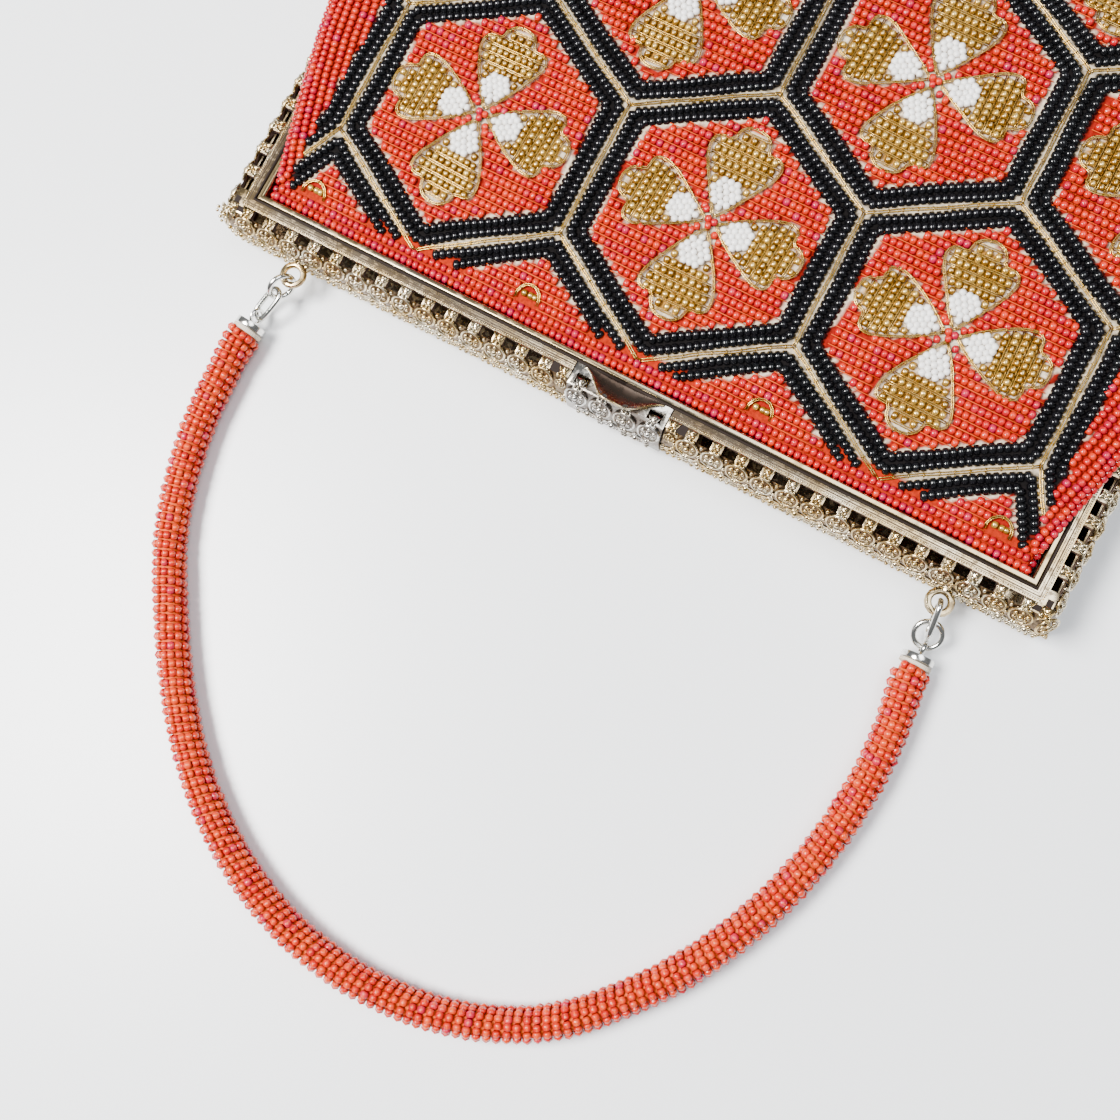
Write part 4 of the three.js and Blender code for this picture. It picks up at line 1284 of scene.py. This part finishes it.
def wear_group():
    """Tarnish and wear for metal: a colour, a roughness and a height that vary over the surface."""
    group = bpy.data.node_groups.new("metal wear", "ShaderNodeTree")
    face = group.interface
    for label, kind, value in (
        ("Plated", "NodeSocketColor", (0.7, 0.6, 0.4, 1)),
        ("Worn", "NodeSocketColor", (0.7, 0.7, 0.7, 1)),
        ("Tarnished", "NodeSocketColor", (0.2, 0.15, 0.1, 1)),
        ("Scale", "NodeSocketFloat", 200.0),
        ("Wear", "NodeSocketFloat", 0.5),
        ("Tarnish", "NodeSocketFloat", 0.3),
        ("Polish", "NodeSocketFloat", 0.25),
    ):
        socket = face.new_socket(name=label, in_out="INPUT", socket_type=kind)
        socket.default_value = value
    face.new_socket(name="Color", in_out="OUTPUT", socket_type="NodeSocketColor")
    face.new_socket(name="Roughness", in_out="OUTPUT", socket_type="NodeSocketFloat")
    face.new_socket(name="Height", in_out="OUTPUT", socket_type="NodeSocketFloat")
    start = added(group, "NodeGroupInput")
    end = added(group, "NodeGroupOutput")
    place = added(group, "ShaderNodeTexCoord")
    patches = added(group, "ShaderNodeTexNoise")
    patches.inputs["Detail"].default_value = 4
    fine = added(group, "ShaderNodeTexNoise")
    fine.inputs["Detail"].default_value = 3
    finer = added(group, "ShaderNodeMath", operation="MULTIPLY")
    finer.inputs[1].default_value = 6
    group.links.new(start.outputs["Scale"], patches.inputs["Scale"])
    group.links.new(start.outputs["Scale"], finer.inputs[0])
    group.links.new(finer.outputs[0], fine.inputs["Scale"])
    for noise in (patches, fine):
        group.links.new(place.outputs["Object"], noise.inputs["Vector"])
    wear = added(group, "ShaderNodeMapRange")
    wear.inputs["From Min"].default_value = 0.42
    wear.inputs["From Max"].default_value = 0.62
    group.links.new(patches.outputs["Fac"], wear.inputs["Value"])
    group.links.new(start.outputs["Wear"], wear.inputs["To Max"])
    dirt = added(group, "ShaderNodeMapRange")
    dirt.inputs["From Min"].default_value = 0.5
    dirt.inputs["From Max"].default_value = 0.7
    group.links.new(fine.outputs["Fac"], dirt.inputs["Value"])
    group.links.new(start.outputs["Tarnish"], dirt.inputs["To Max"])
    worn = added(group, "ShaderNodeMix", data_type="RGBA")
    dull = added(group, "ShaderNodeMix", data_type="RGBA")
    group.links.new(wear.outputs["Result"], worn.inputs["Factor"])
    group.links.new(start.outputs["Plated"], worn.inputs["A"])
    group.links.new(start.outputs["Worn"], worn.inputs["B"])
    group.links.new(dirt.outputs["Result"], dull.inputs["Factor"])
    group.links.new(worn.outputs["Result"], dull.inputs["A"])
    group.links.new(start.outputs["Tarnished"], dull.inputs["B"])
    rough = added(group, "ShaderNodeMath", operation="MULTIPLY_ADD")
    rough.inputs[1].default_value = 0.35
    group.links.new(dirt.outputs["Result"], rough.inputs[0])
    group.links.new(start.outputs["Polish"], rough.inputs[2])
    group.links.new(dull.outputs["Result"], end.inputs["Color"])
    group.links.new(rough.outputs[0], end.inputs["Roughness"])
    group.links.new(fine.outputs["Fac"], end.inputs["Height"])
    return group


def metal(name, wear, bump=0.02, **values):
    material, tree, shader = principled(name, Metallic=1.0)
    group = added(tree, "ShaderNodeGroup", node_tree=wear)
    for key, value in values.items():
        group.inputs[key].default_value = (*value, 1) if isinstance(value, tuple) else value
    raised = added(tree, "ShaderNodeBump")
    raised.inputs["Strength"].default_value = 0.25
    raised.inputs["Distance"].default_value = bump * MM
    tree.links.new(group.outputs["Height"], raised.inputs["Height"])
    tree.links.new(group.outputs["Color"], shader.inputs["Base Color"])
    tree.links.new(group.outputs["Roughness"], shader.inputs["Roughness"])
    tree.links.new(raised.outputs["Normal"], shader.inputs["Normal"])
    return material


def cloth_material(name, light, dark):
    """Plain woven cloth."""
    material, tree, shader = principled(name, Roughness=0.85, Specular_IOR_Level=0.1)
    place = added(tree, "ShaderNodeTexCoord")
    waves = []
    for direction in ("X", "Y"):
        wave = added(tree, "ShaderNodeTexWave", bands_direction=direction)
        wave.inputs["Scale"].default_value = 700
        tree.links.new(place.outputs["Object"], wave.inputs["Vector"])
        waves.append(wave)
    weave = added(tree, "ShaderNodeMath", operation="MULTIPLY")
    tree.links.new(waves[0].outputs["Fac"], weave.inputs[0])
    tree.links.new(waves[1].outputs["Fac"], weave.inputs[1])
    colours = ramp(tree, ((0, dark), (1, light)))
    tree.links.new(weave.outputs[0], colours.inputs["Fac"])
    tree.links.new(colours.outputs["Color"], shader.inputs["Base Color"])
    raised = added(tree, "ShaderNodeBump")
    raised.inputs["Distance"].default_value = 0.1 * MM
    tree.links.new(weave.outputs[0], raised.inputs["Height"])
    tree.links.new(raised.outputs["Normal"], shader.inputs["Normal"])
    return material


def ground_material(name):
    """Stitched threads whose colour comes from the mesh: thread colours, with painted light under the coral beads and
    painted shade under the black bands.
    """
    material, tree, shader = principled(name, Roughness=0.8, Specular_IOR_Level=0.05)
    ink = added(tree, "ShaderNodeAttribute", attribute_name="ink")
    place = added(tree, "ShaderNodeTexCoord")
    noise = added(tree, "ShaderNodeTexNoise")
    noise.inputs["Scale"].default_value = 1400
    tree.links.new(place.outputs["Object"], noise.inputs["Vector"])
    shade = added(tree, "ShaderNodeMapRange")
    shade.inputs["From Min"].default_value = 0.3
    shade.inputs["From Max"].default_value = 0.7
    shade.inputs["To Min"].default_value = 0.6
    shade.inputs["To Max"].default_value = 1.1
    tree.links.new(noise.outputs["Fac"], shade.inputs["Value"])
    scaled = added(tree, "ShaderNodeVectorMath", operation="SCALE")
    tree.links.new(ink.outputs["Color"], scaled.inputs[0])
    tree.links.new(shade.outputs["Result"], scaled.inputs["Scale"])
    tree.links.new(scaled.outputs["Vector"], shader.inputs["Base Color"])
    raised = added(tree, "ShaderNodeBump")
    raised.inputs["Distance"].default_value = 0.15 * MM
    tree.links.new(noise.outputs["Fac"], raised.inputs["Height"])
    tree.links.new(raised.outputs["Normal"], shader.inputs["Normal"])
    return material


# In the bead materials below, the deep colour is painted shade at each bead's sides and underside, and the light top
# colour is a painted highlight
CORAL_STOPS = (
    (0.0, (0.36, 0.002, 0.045)), (0.25, (0.38, 0.002, 0.014)), (0.5, (0.44, 0.004, 0.004)),
    (0.74, (0.54, 0.026, 0.003)), (0.9, (0.47, 0.01, 0.008)), (1.0, (0.4, 0.004, 0.05)),
)
coral = bead_material(
    "coral glass", CORAL_STOPS, 0.15, deep=(0.1, 0.0005, 0.0005), painted_highlight=(0.72, 0.035, 0.025), painted_highlight_share=0.4,
    Roughness=0.1, Specular_IOR_Level=0.45,
)
ROPE_STOPS = (
    (0.0, (0.36, 0.003, 0.02)), (0.25, (0.45, 0.005, 0.004)), (0.55, (0.54, 0.014, 0.003)),
    (0.85, (0.62, 0.045, 0.004)), (1.0, (0.48, 0.006, 0.035)),
)
coral_rope = bead_material(
    "coral rope glass", ROPE_STOPS, 0.2, deep=(0.15, 0.001, 0.0008), painted_highlight=(0.85, 0.16, 0.012), painted_highlight_from=0.84,
    painted_highlight_share=0.6, Roughness=0.1, Specular_IOR_Level=0.45,
)
black = bead_material("black glass", ((0, (0.002, 0.002, 0.0025)), (1, (0.005, 0.005, 0.006))), 0.1, Roughness=0.09)
gold_glass = bead_material(
    "gold glass", ((0, (0.2, 0.085, 0.006)), (0.5, (0.38, 0.19, 0.02)), (1, (0.6, 0.37, 0.07))), 0.2,
    deep=(0.08, 0.03, 0.003), painted_highlight=(0.95, 0.75, 0.36), painted_highlight_from=0.75, painted_highlight_share=0.6, Roughness=0.12, Metallic=0.6,
)
white_glass = bead_material(
    "white glass", ((0, (0.82, 0.8, 0.77)), (1, (0.92, 0.9, 0.88))), 0.1, deep=(0.6, 0.5, 0.4), Roughness=0.25
)
# The pouch cloth is coloured coral: thread colour together with painted light seen through the coral beads over it
coral_thread_and_light_cloth = cloth_material("coral cloth with painted bead light", (0.3, 0.012, 0.004), (0.18, 0.006, 0.002))
cloth_cream = cloth_material("cream cloth", (0.82, 0.74, 0.62), (0.55, 0.46, 0.36))
ground_with_painted_light = ground_material("ground threads and painted light")
wear = wear_group()
pale_gold = metal(
    "pale gold", wear, Plated=(0.6, 0.44, 0.2), Worn=(0.8, 0.73, 0.56), Tarnished=(0.1, 0.06, 0.025),
    Scale=160.0, Wear=0.8, Tarnish=0.85, Polish=0.16,
)
# Darker metal for the sloping and outer walls of the frame: tarnish together with painted shade
tarnish_and_shade_gold = metal(
    "tarnished ground with painted shade", wear, Plated=(0.13, 0.08, 0.04), Worn=(0.26, 0.19, 0.11), Tarnished=(0.05, 0.03, 0.016),
    Scale=260.0, Wear=0.6, Tarnish=0.7, Polish=0.35,
)
groove_brown, _, groove_shader = principled("groove", Roughness=0.6, Specular_IOR_Level=0.2)
groove_shader.inputs["Base Color"].default_value = (0.07, 0.045, 0.03, 1)
# Near-black painted shade, for the window panels and over the parting line
painted_shade_brown, _, window_shader = principled("window shade", Roughness=0.7, Specular_IOR_Level=0.15)
window_shader.inputs["Base Color"].default_value = (0.016, 0.01, 0.008, 1)
inside_brown = metal(
    "tarnished inside", wear, Plated=(0.3, 0.2, 0.165), Worn=(0.42, 0.31, 0.27), Tarnished=(0.12, 0.08, 0.065),
    Scale=300.0, Wear=0.5, Tarnish=0.6, Polish=0.6,
)
band_silver = metal(
    "silvered band", wear, Plated=(0.44, 0.32, 0.16), Worn=(0.64, 0.54, 0.38), Tarnished=(0.14, 0.09, 0.05),
    Scale=120.0, Wear=0.8, Tarnish=0.7, Polish=0.2,
)
rim_gold = metal(
    "polished rim", wear, Plated=(0.5, 0.37, 0.19), Worn=(0.38, 0.34, 0.25), Tarnished=(0.1, 0.065, 0.03),
    Scale=60.0, Wear=0.7, Tarnish=0.6, Polish=0.16,
)
lever_silver = metal(
    "worn silver", wear, Plated=(0.5, 0.45, 0.37), Worn=(0.68, 0.66, 0.62), Tarnished=(0.07, 0.05, 0.04),
    Scale=200.0, Wear=1.0, Tarnish=0.85, Polish=0.14,
)
lip_bronze = metal(
    "bronzed lip", wear, Plated=(0.17, 0.115, 0.085), Worn=(0.3, 0.23, 0.18), Tarnished=(0.08, 0.05, 0.04),
    Scale=60.0, Wear=0.6, Tarnish=0.4, Polish=0.26,
)
# Darker metal for the lever's hollows and walls: tarnish, with painted shade on its sloping and outer walls
lever_ground_and_shade = metal(
    "lever ground with painted shade", wear, Plated=(0.16, 0.13, 0.11), Worn=(0.3, 0.28, 0.25), Tarnished=(0.05, 0.04, 0.03),
    Scale=260.0, Wear=0.7, Tarnish=0.7, Polish=0.3,
)
link_silver = metal(
    "silver links", wear, Plated=(0.75, 0.74, 0.7), Worn=(0.82, 0.82, 0.8), Tarnished=(0.35, 0.31, 0.26),
    Scale=200.0, Wear=0.6, Tarnish=0.3, Polish=0.14,
)
gold_thread = metal(
    "gold thread", wear, Plated=(0.46, 0.27, 0.045), Worn=(0.66, 0.48, 0.18), Tarnished=(0.2, 0.09, 0.015),
    Scale=700.0, Wear=0.7, Tarnish=0.7, Polish=0.26,
)
orange_thread, _, thread_shader = principled("orange thread", Roughness=0.6, Specular_IOR_Level=0.15)
thread_shader.inputs["Base Color"].default_value = (0.6, 0.07, 0.008, 1)


# Pouch

skin = outer_skin()
cloth = measured_cloth(skin)
CLOTH_UNDER = 1.35
CLOTH_THICK = 0.7


def pouch_cloth():
    bm = skin.copy()
    bm.normal_update()
    moves = [(v, v.normal * -CLOTH_UNDER) for v in bm.verts]
    for v, move in moves:
        v.co += move
    bmesh.ops.solidify(bm, geom=bm.faces[:], thickness=CLOTH_THICK)
    bmesh.ops.recalc_face_normals(bm, faces=bm.faces[:])
    # The pouch cloth takes the coral cloth colour: thread colour with painted light seen through the beads
    piece = finished("pouch_cloth", mesh_of(bm, "pouch_cloth"), coral_thread_and_light_cloth)
    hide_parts("bag_body")
    return piece


def bead_piece(name, shape, places, material):
    return finished(name, strewn(name, shape, places), material)


pouch_cloth()
round_bead = bead_shape(ROUND_RINGS, 6)
plain_bead = bead_shape(PLAIN_RINGS, 5)
blossoms = flowers()
finished("ground_threads_and_painted_light", ground_threads_and_painted_light(cloth, blossoms), ground_with_painted_light)
ground, ground_threads = filled_rows(cloth, blossoms)
gold_beads, white_beads, centre_beads, petal_threads = gold_and_white(cloth, blossoms)
bead_piece("ground_beads", round_bead, ground + centre_beads, coral)
bead_piece("border_beads", round_bead, border_beads(cloth), coral)
bead_piece("black_beads", round_bead, black_rows(cloth), black)
bead_piece("gold_beads", round_bead, gold_beads, gold_glass)
bead_piece("white_beads", round_bead, white_beads, white_glass)
back = back_beads(cloth)
half_back = len(back) // 2
bead_piece("back_beads_upper", plain_bead, back[:half_back], coral)
bead_piece("back_beads_lower", plain_bead, back[half_back:], coral)
last_rows = [even_rows(cloth, "front", FIRST_ROW)[-1], even_rows(cloth, "back", MOUTH + 1.2)[-1]]
bead_piece("bottom_beads", plain_bead, bottom_beads(cloth, *last_rows), coral)
finished("bead_threads", tubes("bead_threads", ground_threads, 0.11, 4), orange_thread)
finished("petal_threads", tubes("petal_threads", petal_threads, 0.15, 4), gold_thread)
cords, stitches = lattice_cords(cloth)
finished("lattice_cords", tubes("lattice_cords", cords, 0.16, 5), gold_thread)
outline_strands = []
for flower in blossoms:
    for angle, scale in flower[2]:
        outline = smooth_closed(placed_outline(flower, angle, scale), 0.8)
        outline = outline[outline[:, 1] < cloth["front"]["end"] - 1]
        if len(outline) > 12:
            made = couched(cloth, outline, 0.4, -0.5, closed=len(outline) > 60)
            outline_strands += made[0]
            stitches += made[1]
for x, y in ARC_MIDDLES:
    made = couched(cloth, arc_line(x, y), 0.4, -0.4)
    outline_strands += made[0]
    stitches += made[1]
finished("petal_wires", tubes("petal_wires", outline_strands, 0.16, 5), gold_thread)
finished("couching", tubes("couching", stitches, 0.12, 4), gold_thread)

# Rope
line = rope_line()
bead_piece("rope_beads", round_bead, rope_beads(line), coral_rope)
core = finished("rope_core", tubes("rope_core", [line[1:-1]], ROPE_RADIUS - 1.3, 16), orange_thread)
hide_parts("handle_rope")
collars = [line[:4], line[-4:]]
finished("rope_collars", tubes("rope_collars", collars, ROPE_RADIUS - 0.5, 20), cloth_cream)

# Frame
# Painted shade panels where the run of windows goes on
finished("painted_window_shade", painted_window_shade_patches(), painted_shade_brown, smooth=False)
rosette = slope_rosette()
post = post_shape()
corners = [corner_place(sign) for sign in (-1, 1)]
relief_places = ornament_places()
beside_lever = [along_bar(0, sign * (LEVER_HALF + 1.8)) for sign in (-1, 1)]
at_corners = [along_bar(0, sign * 102.4) for sign in (-1, 1)]
at_corners += [along_bar(sign, -(PARTING_REACH + 4.2)) for sign in (-1, 1)]
extra = beside_lever + at_corners
arm_starts = [along_bar(sign, -PARTING_REACH) for sign in (-1, 1)]
wall_places = relief_places + arm_starts + [along_bar(0, 17 * PITCH), along_bar(0, -2 * PITCH)]
wall_places.append(along_bar(-1, -(PARTING_REACH + PITCH)))
ornament = [
    (rosette, relief_places + corners + arm_starts), (post, relief_places + extra), (wall_shape(), wall_places),
    (slope_rosette(0.5), beside_lever),
]
finished("frame_ornament", stamped("frame_ornament", ornament), pale_gold)
proud = Matrix.Translation((0, LEVER_PROUD, 0))
lever_places = [along_bar(0, k * PITCH) @ proud for k in (-1.5, -0.5, 0.5, 1.5)]
lever_walls = [along_bar(0, k * PITCH) @ proud for k in (-1, 0, 1)]
centred = moved(wall_shape(low=False), Matrix.Translation((-PITCH / 2, 0, 0)))
lever_stamps = [(rosette, lever_places), (post_shape(outer=False), lever_places), (centred, lever_walls)]
lever_stamps = stamped("lever_ornament", lever_stamps)
finished("lever_ornament", lever_stamps, lever_silver, body="clasp")
grains = milgrain(1.75, FRAME_DEPTH + 0.05, 0.24, 0.56, LEVER_HALF + 0.6)
grains += milgrain(FRAME_WIDTH + 0.02, 4.4, 0.3, 0.8, LEVER_HALF + 0.6)
grain_bm = bmesh.new()
bmesh.ops.create_icosphere(grain_bm, subdivisions=1, radius=0.5)
finished("milgrain", strewn("milgrain", shape_arrays(grain_bm), grains), pale_gold)
for number, (out, radius) in enumerate(GROOVES):
    name = f"band_groove_{number + 1}"
    finished(name, tubes(name, frame_lines(out), radius, 6), groove_brown)
# A dark strand of painted shade along the gap at the parting line
shade = tubes("parting_shade", frame_lines(PARTING_SHADE[0], 0), PARTING_SHADE[1], 8)
finished("parting_shade", shade, painted_shade_brown)
casting_bm = softened("back_frame", 0.12)
tarnish_and_shade_faces(casting_bm, 1, 2)
casting_mesh = mesh_of(casting_bm, "frame_casting")
for material in (band_silver, inside_brown, tarnish_and_shade_gold):
    casting_mesh.materials.append(material)
casting_mesh.transform(Matrix.Scale(MM, 4))
casting = bpy.data.objects.new("frame_casting", casting_mesh)
bpy.context.scene.collection.objects.link(casting)
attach(casting, "bag")
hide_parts("back_frame")
shaded_by_angle(casting)

for node, material, name, slot, body in (
    ("front_rim", rim_gold, "polished_rim", "polished_rim", "bag"),
    ("clasp_lever", lever_silver, "lever_casting", "worn_silver", "clasp"),
    ("end_cap_left", link_silver, "rope_cap_left", "silver_links", "bag"),
    ("end_cap_right", link_silver, "rope_cap_right", "silver_links", "bag"),
    ("handle_eye_left", rim_gold, "eye_left", "pale_gold", "bag"),
    ("handle_eye_right", rim_gold, "eye_right", "pale_gold", "bag"),
):
    rounded_bm = softened(node, 0.1)
    # On the lever, hollows and sloping and outer walls take the darker lever metal: tarnish, with painted shade on the
    # walls
    if node == "clasp_lever":
        tarnish_and_shade_faces(rounded_bm, 1, 1)
    rounded_mesh = mesh_of(rounded_bm, name)
    numbers = [polygon.material_index for polygon in rounded_mesh.polygons]
    piece = finished(name, rounded_mesh, material, body=body)
    if any(numbers):
        rounded_mesh.materials.append(lever_ground_and_shade)
        rounded_mesh.polygons.foreach_set("material_index", numbers)
    shaded_by_angle(piece)
    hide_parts(node)
lip, lip_edge = lip_mesh()
finished("lever_lip", lip, lip_bronze, body="clasp")
finished("lip_edge", tubes("lip_edge", [lip_edge], 0.24, 8), pale_gold, body="clasp")
for side in ("left", "right"):
    rounded_ring(f"oval_link_{side}", link_silver, f"link_{side}")
    rounded_ring(f"jump_ring_{side}", link_silver, f"ring_{side}")
for node in ("clasp_pin", "hinge_rivet_left", "hinge_rivet_right"):
    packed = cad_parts[node]
    packed.data.materials.clear()
    packed.data.materials.append(link_silver if node == "clasp_pin" else pale_gold)

# Floor, light and camera

floor_bm = bmesh.new()
bmesh.ops.create_grid(floor_bm, x_segments=1, y_segments=1, size=1.6)
floor_mesh = mesh_of(floor_bm, "floor")
floor_white, _, floor_shader = principled("pale table", Roughness=0.3)
floor_shader.inputs["Base Color"].default_value = (0.9, 0.92, 0.945, 1)
floor_mesh.materials.append(floor_white)
floor = bpy.data.objects.new("floor", floor_mesh)
bpy.context.scene.collection.objects.link(floor)
floor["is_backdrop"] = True

world = bpy.data.worlds.new("soft room")
bpy.context.scene.world = world
world.use_nodes = True
world.node_tree.nodes["Background"].inputs["Color"].default_value = (0.93, 0.96, 1.0, 1)
world.node_tree.nodes["Background"].inputs["Strength"].default_value = 0.2


def soft_light(name, place, aim, size, power, colour):
    data = bpy.data.lights.new(name, "AREA")
    data.shape = "RECTANGLE"
    data.size, data.size_y = size
    data.energy = power
    data.color = colour
    light = bpy.data.objects.new(name, data)
    bpy.context.scene.collection.objects.link(light)
    light.location = place
    light.rotation_euler = (Vector(aim) - Vector(place)).to_track_quat("-Z", "Y").to_euler()


soft_light("window", (-0.5, -0.32, 0.95), (0, -0.06, 0), (0.5, 0.4), 42, (1.0, 0.985, 0.96))
soft_light("ceiling", (0.35, 0.25, 1.3), (0, -0.06, 0), (0.9, 0.7), 13, (0.93, 0.96, 1.0))

camera_data = bpy.data.cameras.new("camera")
camera_data.sensor_width = SENSOR
camera_data.lens = SENSOR * FOCAL_PIXELS / IMAGE_PIXELS
camera_data.clip_start = 0.01
camera = bpy.data.objects.new("camera", camera_data)
bpy.context.scene.collection.objects.link(camera)
right = CAMERA_RIGHT.normalized()
up = (-CAMERA_DOWN).normalized()
back_way = right.cross(up).normalized()
up = back_way.cross(right)
turn = Matrix((right, up, back_way)).transposed().to_4x4()
camera.matrix_world = Matrix.Translation(CAMERA_PLACE * MM) @ turn
bpy.context.scene.camera = camera

corners = [[list(corner) for corner in box] for box in (cad_box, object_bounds())]
